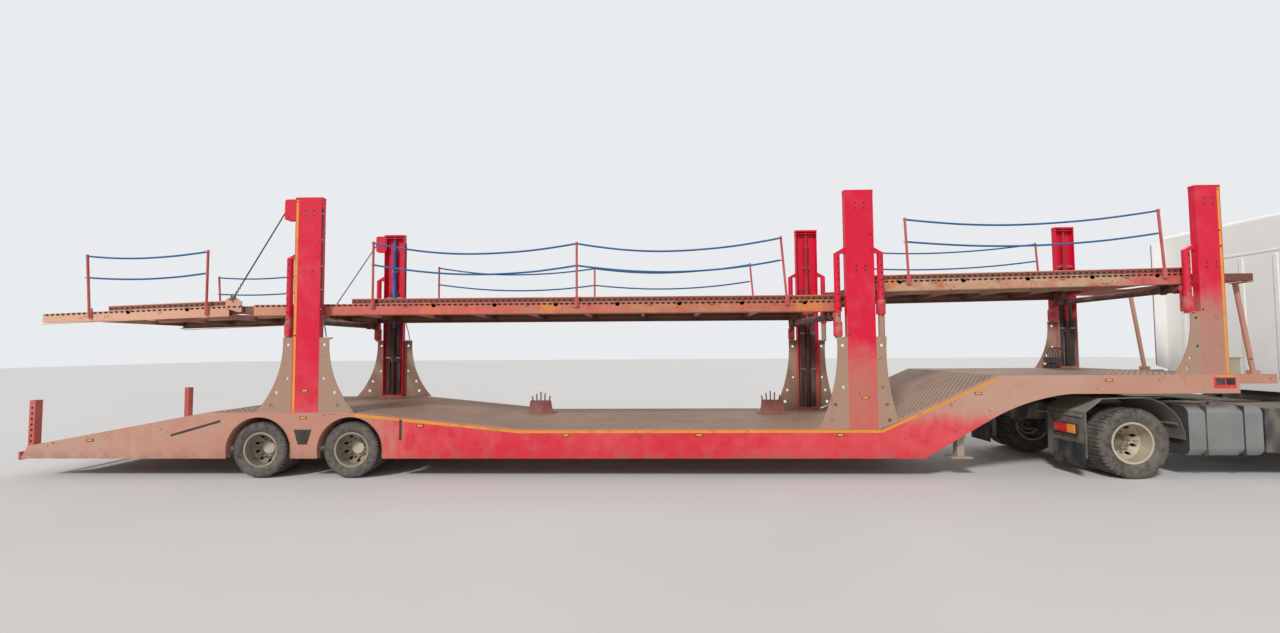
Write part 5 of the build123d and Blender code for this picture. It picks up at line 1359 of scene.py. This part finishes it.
class TRANSPORTER_OT_hubs(bpy.types.Operator):
    """Fit wheel nuts and valve stems"""

    bl_idname = "transporter.hubs"
    bl_label = "Hubs and wheel nuts"

    def execute(self, context):
        for label, axle, radius, rim, *_ in WHEELS:
            face = self.face(label, axle, radius)
            tall = min(0.040, HALF_WIDTH - 0.0015 - face)
            shape = [(0.021, -0.1), (0.021, 0.15), (0.0165, 0.2), (0.0165, 0.65), (0.011, 0.75), (0.011, 1.0)]
            rings = [(reach, share * tall) for reach, share in shape]
            nut = turned("wheel_nut", (axle, face, radius), (0, 1, 0), rings, 8, False)
            turns = [math.tau * index / BOLTS for index in range(BOLTS)]
            moves = [(BOLT_CIRCLE * math.cos(turn), 0, BOLT_CIRCLE * math.sin(turn)) for turn in turns]
            nuts = row(nut, f"{label}_nuts_left", moves)
            stem = [(0.74, 0.005), (0.76, 0.045), (0.80, 0.075)]
            stem = [(axle + rim * out, min(face + rise, 1.230 + rise * 0.15), radius) for out, rise in stem]
            nuts = joined([nuts, pipe("valve", stem, 0.005)], f"{label}_nuts_left")
            twin = copy_at(nuts, f"{label}_nuts_right", mirror=True)
            fit(nuts, name_on(label, "wheel", "left"), "steel")
            fit(twin, name_on(label, "wheel", "right"), "steel")
        return {"FINISHED"}

    def face(self, label, axle, radius):
        """Outermost place of a rim's disc at the bolt circle."""
        near = []
        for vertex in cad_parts[name_on(label, "rim", "left")].data.vertices:
            reach = math.hypot(vertex.co.x - axle, vertex.co.z - radius)
            if abs(reach - BOLT_CIRCLE) < 0.05:
                near.append(vertex.co.y)
        if not near:
            raise RuntimeError(f"no disc found on the {label} rim")
        return max(near)


class TRANSPORTER_OT_jackets(bpy.types.Operator):
    """Sleeve the lift cylinders inside the posts"""

    bl_idname = "transporter.jackets"
    bl_label = "Cylinder jackets"

    def execute(self, context):
        jackets, grips = [], []
        for centre, _, base, _ in POSTS:
            tall = 3.92 - base
            rings = [
                (0.030, 0), (0.038, 0.01), (0.038, 0.09), (0.034, 0.10), (0.034, tall - 0.16),
                (0.039, tall - 0.15), (0.039, tall - 0.06), (0.030, tall - 0.05), (0.022, tall - 0.04),
            ]
            jackets.append(turned("cylinder_jacket", (centre, 1.196, base + 0.04), (0, 0, 1), rings, 20))
            for height in (base + 0.7, 2.62, 3.45):
                low, high = (centre - 0.052, 1.185, height), (centre + 0.052, 1.236, height + 0.03)
                grips.append(block("cylinder_grip", low, high, 0.004))
        dress(jackets, "cylinder_jackets", "trailer", "cylinders")
        dress(grips, "cylinder_grips", "trailer", "steel")
        return {"FINISHED"}


class TRANSPORTER_OT_trailer_fittings(bpy.types.Operator):
    """Fit the tail lamps, the wheel stops, the arches' liners, the pump box and the valves"""

    bl_idname = "transporter.trailer_fittings"
    bl_label = "Trailer fittings"

    def execute(self, context):
        self.tail()
        self.wheel_stops()
        self.arches()
        self.pump_box()
        self.valve_bank()
        return {"FINISHED"}

    def tail(self):
        """Lamps of the tail frame and the holes in its posts."""
        low, high = at(0) - 0.003, at(0) + 0.02
        red = [
            block("tail_lens", (low, 0.80, 0.305), (high, 0.95, 0.385), 0.008),
            block("tail_lens", (low, 0.98, 0.305), (high, 1.05, 0.385), 0.006),
        ]
        dress(red, "tail_lamps", "trailer", "lamp_red")
        indicator = block("tail_indicators", (low, 1.08, 0.305), (high, 1.17, 0.385), 0.006)
        fit(both_sides(indicator), "trailer", "lamp_amber")
        rear_face = at(0.14)
        rings = [(0.017, 0), (0.017, 0.002), (0.012, 0.0022), (0.012, 0.0005)]
        rims = []
        for direction, x, y in (
            ((-1, 0, 0), rear_face + 0.0005, 1.205), ((0, 1, 0), rear_face + 0.045, 1.2495),
        ):
            ring = turned("tail_hole", (0, 0, 0), direction, rings, 12)
            rims.append(row(ring, "tail_holes", [(x, y, 0.56 + 0.083 * index) for index in range(7)]))
        dress(rims, "tail_post_holes", "trailer", "grease")

    def wheel_stops(self):
        """Two stops on the car floor, each with its sloped face, its webs and a row of pins."""
        stops = []
        y, z = 0.62, CAR_FLOOR
        for place in (-3.33, 0.90):
            stops.append(
                block("stop_base", (place - 0.26, y - 0.14, z), (place + 0.26, y + 0.14, z + 0.012), 0.003)
            )
            face = [(-0.22, -0.10, 0), (0.22, -0.10, 0), (0.19, -0.06, 0.24), (-0.19, -0.06, 0.24)]
            corners = [(place + out, y + across, z + up) for out, across, up in face]
            stops.append(plate("stop_face", corners, 0.010, 0.002))
            for x in (place - 0.18, place + 0.18):
                corners = [(x, y - 0.10, z), (x, y + 0.12, z), (x, y - 0.06, z + 0.23)]
                stops.append(plate("stop_web", corners, 0.010, 0.002))
            for reach in (-0.13, -0.07, -0.01, 0.05, 0.12):
                x, lean, top = place + reach, reach / 3, z + 0.40 - abs(reach) * 0.7
                run = [(x, y, z + 0.01), (x + lean * 0.3, y, z + 0.16), (x + lean, y, top)]
                stops.append(pipe("stop_pin", run, 0.012))
        dress(stops, "wheel_stops", "trailer", "under", both=False)

    def arches(self):
        """Rolled lip, liner and dark inner wall of each wheel arch, the wall standing in for underfloor parts
        and painted shade behind the wheels.
        """
        liners, walls = [], []
        for axle in (REAR_AXLE, FORE_AXLE):
            lip = self.arc(axle, 0.497, SKIN - 0.004, [-10 + 8 * index for index in range(26)])
            liners.append(pipe("arch_lip", lip, 0.010))
            arc = self.arc(axle, 0.499, 1.244, [4 + 8.6 * index for index in range(21)])
            liners.append(band("arch_liner", arc, (0, -0.56, 0), 0.003, 0))
            # Painted shade: the dark inner wall closes the view through the arch, where the underside is
            # partly parts and partly shade.
            walls.append(plate("arch_wall", [(x, 0.686, z) for x, _, z in arc], 0.003))
        dress(liners, "arch_liners", "trailer", "trailer")
        dress(walls, "arch_walls", "trailer", "chassis")

    def arc(self, axle, radius, y, angles):
        """Places round an axle at angles in degrees."""
        turns = [math.radians(angle) for angle in angles]
        return [(axle + radius * math.cos(turn), y, TRAILER_TYRE + radius * math.sin(turn)) for turn in turns]

    def pump_box(self):
        """Pump's box with its lid and hinge, on brackets beside the nose frame's arm."""
        arm, beside = 1.4602, -0.8402
        box = block("pump_box", (7.09, -1.00, arm), (7.37, -0.775, arm + 0.24), 0.012)
        lid = block("pump_box_lid", (7.08, -1.01, arm + 0.235), (7.38, -0.765, arm + 0.262), 0.006)
        rings = [(0.007, 0), (0.009, 0.002), (0.009, 0.21), (0.007, 0.212)]
        hinge = turned("pump_box_hinge", (7.12, -0.763, arm + 0.235), (1, 0, 0), rings, 12)
        brackets = []
        for x in (7.12, 7.33):
            corners = [(x, beside, arm), (x, -0.985, arm), (x, beside, arm - 0.10)]
            brackets.append(plate("pump_box_bracket", corners, 0.008))
        dress([box, lid, hinge, *brackets], "pump_box", "trailer", "locker", both=False)

    def valve_bank(self):
        """Levers of the lifts on their valve block, beside the front post."""
        neck = 1.481
        rings = [(0.006, 0), (0.014, 0.010), (0.016, 0.022), (0.012, 0.034), (0.004, 0.040)]
        parts = []
        for index in range(5):
            x = FRONT_POST - 0.30 - 0.05 * index
            run = [(x, 1.06, neck + 0.20), (x, 1.06, neck + 0.30), (x + 0.01, 1.01, neck + 0.37)]
            parts.append(pipe("valve_lever", run, 0.006))
            parts.append(turned("lever_knob", (x + 0.01, 1.01, neck + 0.365), (0.1, -0.4, 0.5), rings, 14))
        for rear, fore, inner, outer, low, high, bevel in (
            (-0.54, -0.27, 1.01, 1.11, 0.10, 0.21, 0.006), (-0.45, -0.36, 1.03, 1.09, 0.001, 0.11, 0.004),
        ):
            corners = (FRONT_POST + rear, inner, neck + low), (FRONT_POST + fore, outer, neck + high)
            parts.append(block("valve_block", *corners, bevel))
        dress(parts, "valve_bank", "trailer", "plastic", both=False)


class TRANSPORTER_OT_tractor_fittings(bpy.types.Operator):
    """Fit the tractor's rear lamps, mud flaps, tank straps, locker lids and catwalk"""

    bl_idname = "transporter.tractor_fittings"
    bl_label = "Tractor fittings"

    def execute(self, context):
        self.rear_end()
        self.tank()
        lids = []
        for index in range(3):
            x = 6.45 + 0.62 * index
            lids.append(block("locker_lid", (x, 1.228, 0.44), (x + 0.55, 1.2375, 0.93), 0.004))
            lids.append(block("locker_latch", (x + 0.23, 1.234, 0.84), (x + 0.33, 1.2475, 0.875), 0.004))
            lids.append(block("locker_hinge", (x + 0.05, 1.234, 0.455), (x + 0.16, 1.244, 0.475), 0.003))
        dress(lids, "locker_lids", "tractor", "plastic", both=False)
        treads = []
        for index in range(14):
            x = 7.62 + 0.055 * index
            treads.append(block("catwalk_bar", (x, -0.40, 1.004), (x + 0.025, 0.40, 1.016), 0.003))
        for y in (-0.38, 0.38):
            treads.append(block("catwalk_side", (7.58, y - 0.02, 0.991), (8.40, y + 0.02, 1.005), 0.003))
        dress(treads, "catwalk", "tractor", "steel", both=False)
        return {"FINISHED"}

    def rear_end(self):
        """Lamps, mud flaps and edges of the mudguards' rear panels."""
        panel = 4.880
        bezel = block("rear_lamp_bezel", (panel - 0.03, 0.74, 0.60), (panel + 0.005, 1.14, 0.78), 0.014)
        fit(both_sides(bezel), "tractor", "rubber")
        for name, inner, outer, finish in (
            ("rear_lamps", 0.76, 0.98, "lamp_red"), ("rear_indicators", 0.99, 1.12, "lamp_amber"),
        ):
            lens = block(name, (panel - 0.045, inner, 0.625), (panel - 0.02, outer, 0.755), 0.012)
            fit(both_sides(lens), "tractor", finish)
        flap = block("mud_flap", (panel - 0.004, 0.70, 0.16), (panel + 0.008, 1.22, 0.50), 0.003)
        bar = block("flap_bar", (panel - 0.012, 0.70, 0.475), (panel - 0.003, 1.22, 0.505), 0.003)
        dress([flap, bar], "mud_flaps", "tractor", "rubber")
        edges = []
        for x, y, top, radius in ((0.012, 0.69, 0.90, 0.009), (0.01, 1.232, 0.92, 0.008)):
            edges.append(
                pipe("guard_edge", [(panel + x, y, 0.30), (panel + x, y, top)], radius, smooth=False)
            )
        dress(edges, "guard_edges", "tractor", "plastic")

    def tank(self):
        """Straps, cap and tread of the fuel tank."""
        low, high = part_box("fuel_tank")
        straps = []
        for x in (low.x + 0.22, low.x + 0.74):
            for name, rear, fore, proud, top in (
                ("tank_strap", 0, 0.045, 0.005, 0.004), ("strap_rubber", -0.008, 0.053, 0.002, 0.002),
            ):
                corners = (x + rear, low.y - proud, low.z - proud), (x + fore, high.y + top, high.z + proud)
                straps.append(block(name, *corners, 0.09))
        dress(straps, "tank_straps", "tractor", "rubber", both=False)
        rings = [(0.055, 0), (0.055, 0.018), (0.048, 0.022), (0.048, 0.045), (0.040, 0.05), (0.012, 0.052)]
        parts = [turned("tank_cap", (low.x + 0.50, low.y + 0.16, high.z - 0.01), (0, 0, 1), rings, 24)]
        for index in range(2, 5):
            y = low.y + 0.03 + 0.06 * index
            corners = (low.x + 0.33, y, high.z + 0.004), (low.x + 0.69, y + 0.03, high.z + 0.010)
            parts.append(block("tank_tread", *corners, 0.002))
        dress(parts, "tank_fittings", "tractor", "steel", both=False)


class TRANSPORTER_OT_cab_fittings(bpy.types.Operator):
    """Fit the cab's lamps, meshes, wipers, mirrors, handles and seams"""

    bl_idname = "transporter.cab_fittings"
    bl_label = "Cab fittings"

    def execute(self, context):
        self.front_end()
        self.wipers()
        self.mirrors_and_handles()
        self.walls()
        return {"FINISHED"}

    def front_end(self):
        """Headlamps, indicators, roof markers and the meshes behind the grilles."""
        front = CAB_FRONT
        lens = block("headlamp_lenses", (front - 0.050, 0.765, 0.606), (front - 0.006, 1.035, 0.794), 0.018)
        fit(both_sides(lens), "tractor", "lamp_clear")
        rings = [(0.020, 0), (0.030, 0.012), (0.048, 0.046), (0.050, 0.0495), (0.044, 0.0498), (0.026, 0.020)]
        bowls = [turned("reflector", (front - 0.054, y, 0.715), (1, 0, 0), rings, 20) for y in (0.835, 0.945)]
        dress(bowls, "headlamp_reflectors", "tractor", "mirror")
        lens = block("front_indicators", (front - 0.030, 0.77, 0.575), (front - 0.004, 1.03, 0.597), 0.006)
        fit(both_sides(lens), "tractor", "lamp_amber")
        mesh = []
        for index in range(6):
            height = 1.300 + 0.098 * index
            back = self.face_x(height) - 0.017
            low, high = (back - 0.008, -0.672, height + 0.002), (back, 0.672, height + 0.040)
            mesh.append(block("grille_back", low, high, 0.001))
            for bar in range(23):
                y = -0.66 + 0.06 * bar
                low = (back - 0.002, y - 0.004, height + 0.001)
                high = (back + 0.009, y + 0.004, height + 0.041)
                mesh.append(block("grille_bar", low, high, 0))
        dress(mesh, "grille_mesh", "cab", "rubber", both=False)
        mesh = []
        for height in (0.410, 0.500):
            low, high = (front - 0.038, -0.555, height + 0.003), (front - 0.030, 0.555, height + 0.047)
            mesh.append(block("intake_back", low, high, 0.001))
        dress(mesh, "intake_mesh", "tractor", "rubber", both=False)
        marks = []
        for y in (-0.90, -0.32, 0.32, 0.90):
            low, high = (front - 0.62, y - 0.055, 4.050), (front - 0.52, y + 0.055, 4.085)
            marks.append(block("roof_marker", low, high, 0.008))
        dress(marks, "roof_markers", "cab", "lamp_amber", both=False)

    def wipers(self):
        """Two wipers, each a spindle, an arm and a blade."""
        x = CAB_FRONT - 0.055
        rings = [(0.018, 0), (0.018, 0.03), (0.012, 0.035), (0.004, 0.037)]
        arm = [(0.004, 0, 2.04), (-0.004, 0.15, 2.11), (-0.020, 0.38, 2.22)]
        blade = [(-0.002, 0.02, 2.125), (-0.020, 0.38, 2.23), (-0.040, 0.62, 2.32)]
        wipers = []
        for y in (-0.55, 0.25):
            wipers.append(turned("wiper_spindle", (x - 0.03, y, 2.035), (1, 0, 0.2), rings, 14))
            for name, run, radius in (("wiper_arm", arm, 0.006), ("wiper_blade", blade, 0.007)):
                wipers.append(
                    pipe(name, [(x + out, y + across, height) for out, across, height in run], radius)
                )
        dress(wipers, "wipers", "cab", "rubber", both=False)

    def mirrors_and_handles(self):
        """Mirrors' faces and shells, and the doors' handles."""
        front = CAB_FRONT
        for name, rear, fore, inner, outer, heights, bevel, finish in (
            ("mirror_faces", 0.285, 0.2795, 1.172, 1.241, ((2.335, 2.765), (2.092, 2.258)), 0.002, "mirror"),
            (
                "mirror_shells", 0.281, 0.187, 1.163, 1.2495, ((2.316, 2.784), (2.076, 2.274)), 0.012,
                "plastic",
            ),
        ):
            parts = [
                block(name, (front - rear, inner, low), (front - fore, outer, high), bevel)
                for low, high in heights
            ]
            dress(parts, name, "cab", finish)
        y = 1.2355
        for side_name in ("left", "right"):
            name = f"door_fittings_{side_name}"
            cup = block(
                "handle_cup", (front - 1.375, y - 0.010, 1.60), (front - 1.195, y + 0.002, 1.70), 0.008,
            )
            bar = block(
                "handle_bar", (front - 1.365, y + 0.001, 1.640), (front - 1.215, y + 0.011, 1.668), 0.005,
            )
            piece = joined([cup, bar], name)
            if side_name == "right":
                mirrored = copy_at(piece, "mirrored", mirror=True)
                bpy.data.objects.remove(piece, do_unlink=True)
                mirrored.name = name
                piece = mirrored
            fit(piece, f"{side_name}_door", "plastic")

    def walls(self):
        """Fairing edges, seams and louvres of the cab's sides and ribs of its rear wall."""
        edge, y = CAB_REAR - 0.203, 1.237
        foot = [(CAB_REAR + 0.03, y, 1.455), (CAB_REAR - 0.20, y, 1.525)]
        head = [(CAB_REAR + 0.03, y, 3.945), (CAB_REAR - 0.20, y, 3.845)]
        edges = [pipe("fairing_edge", [(edge, y, 1.52), (edge, y, 3.84)], 0.010, smooth=False)]
        edges += [pipe("fairing_end", run, 0.008, smooth=False) for run in (foot, head)]
        dress(edges, "fairing_edges", "cab", "rubber")
        inner, outer = 1.2466, 1.2484
        seams = []
        for height in (1.95, 3.16):
            low, high = (CAB_REAR + 0.02, inner, height), (CAB_FRONT - 1.44, outer, height + 0.008)
            seams.append(block("side_seam", low, high, 0))
        upright = CAB_FRONT - 1.60
        seams.append(block("side_seam", (upright, inner, 1.20), (upright + 0.008, outer, 3.90), 0))
        for index in range(5):
            z = 1.32 + 0.05 * index
            seams.append(
                block("side_louvre", (CAB_REAR + 0.10, inner, z), (CAB_REAR + 0.36, 1.2486, z + 0.025), 0)
            )
        dress(seams, "cab_seams", "cab", "rubber")
        ribs = []
        for index in range(5):
            y = -0.9 + 0.45 * index
            ribs.append(block(
                "rear_rib", (CAB_REAR - 0.012, y - 0.03, 1.35), (CAB_REAR + 0.004, y + 0.03, 3.35), 0.006,
            ))
        low, high = (CAB_REAR - 0.010, -0.62, 3.40), (CAB_REAR + 0.004, 0.62, 3.43)
        ribs.append(block("rear_window_frame", low, high, 0.004))
        dress(ribs, "rear_wall_ribs", "cab", "cab", both=False)

    def face_x(self, height):
        """Place of the cab's front face at a height."""
        if height < 1.5:
            return CAB_FRONT - 0.02 * (1.5 - height) / 0.35
        return CAB_FRONT - 0.06 * (height - 1.5) / 0.49


class TRANSPORTER_OT_seats(bpy.types.Operator):
    """Upholster the seats and the bunk"""

    bl_idname = "transporter.seats"
    bl_label = "Seats and bunk"

    def execute(self, context):
        sewn = (-0.45, 0.45)
        for side_name, y in (("left", 0.62), ("right", -0.62)):
            for name, rear, fore, half, low, high, crown, seams, lean in (
                ("seat", 9.405, 9.925, 0.26, 1.505, 1.700, 0.022, sewn, 0),
                ("seat_back", 9.412, 9.542, 0.25, 1.600, 2.385, 0.014, sewn, -0.12),
                ("headrest", 9.412, 9.520, 0.15, 2.395, 2.600, 0.012, (), -0.12),
            ):
                corners = (rear, y - half, low), (fore, y + half, high)
                self.cushion(f"{name}_{side_name}", *corners, crown, seams, lean)
        seams = (-0.66, -0.33, 0.0, 0.33, 0.66)
        self.cushion("bunk_mattress", (8.70, -1.085, 1.683), (9.195, 1.085, 1.842), 0.016, seams, 0)
        return {"FINISHED"}

    def cushion(self, name, low, high, crown, seams, lean):
        """Crowned closed cushion with sewn channels across it, leaning with its height."""
        clear()
        low, high = Vector(low), Vector(high)
        bpy.ops.mesh.primitive_cube_add(size=2, location=(0, 0, 0))
        piece = settle(bpy.context.object, name)
        edit()
        bpy.ops.mesh.subdivide(number_cuts=19)
        bpy.ops.object.mode_set(mode="OBJECT")
        half, middle = (high - low) / 2, (high + low) / 2
        for vertex in piece.data.vertices:
            u, v, w = vertex.co
            extent = (abs(u) ** 7 + abs(v) ** 7 + abs(w) ** 7) ** (1 / 7)
            u, v, w = [part / extent for part in (u, v, w)]
            bulge = crown * (1 - u * u) * (1 - v * v)
            groove = sum(math.exp(-(((v - seam) / 0.035) ** 2)) for seam in seams) * 0.007
            pull = 1 - 0.05 * (1 - abs(w)) * abs(u) * abs(v)
            place = Vector((u * half.x * pull, v * half.y * pull, w * half.z))
            away = Vector((u, 0, w)).normalized() if (u, w) != (0, 0) else Vector((0, 0, 1))
            place += Vector((0, 0, 1 if w > 0 else 0.3)) * bulge * w - away * groove
            place += middle
            place.x += lean * (place.z - low.z)
            vertex.co = place
        clear(piece)
        bpy.ops.object.shade_smooth()
        fit(piece, "cab", "seat")


PIECES = (
    TRANSPORTER_OT_stage, TRANSPORTER_OT_paint, TRANSPORTER_OT_ropes, TRANSPORTER_OT_tape,
    TRANSPORTER_OT_markers, TRANSPORTER_OT_tyres, TRANSPORTER_OT_hubs, TRANSPORTER_OT_deck_fittings,
    TRANSPORTER_OT_post_fittings, TRANSPORTER_OT_lift_cables, TRANSPORTER_OT_jackets,
    TRANSPORTER_OT_trailer_fittings, TRANSPORTER_OT_tractor_fittings, TRANSPORTER_OT_cab_fittings,
    TRANSPORTER_OT_seats,
)
KINDS = (TransporterSizes, TransporterColours, *PIECES)


class TRANSPORTER_PT_panel(bpy.types.Panel):
    """Lists the transporter's pieces, sizes and colours"""

    bl_idname = "TRANSPORTER_PT_panel"
    bl_label = "Car Transporter"
    bl_space_type = "VIEW_3D"
    bl_region_type = "UI"
    bl_category = "Transporter"

    def draw(self, context):
        for group in (context.scene.transporter_sizes, context.scene.transporter_colours):
            box = self.layout.box()
            for key in group.bl_rna.properties.keys():
                if key not in ("rna_type", "name"):
                    box.prop(group, key)
        for piece in PIECES:
            self.layout.operator(piece.bl_idname)


def register():
    for kind in (*KINDS, TRANSPORTER_PT_panel):
        bpy.utils.register_class(kind)
    bpy.types.Scene.transporter_sizes = bpy.props.PointerProperty(type=TransporterSizes)
    bpy.types.Scene.transporter_colours = bpy.props.PointerProperty(type=TransporterColours)


def unregister():
    del bpy.types.Scene.transporter_sizes
    del bpy.types.Scene.transporter_colours
    for kind in reversed((*KINDS, TRANSPORTER_PT_panel)):
        bpy.utils.unregister_class(kind)


def main():
    """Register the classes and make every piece."""
    register()
    for piece in PIECES:
        family, action = piece.bl_idname.split(".")
        getattr(getattr(bpy.ops, family), action)()
    clear()


if __name__ == "__main__":
    main()
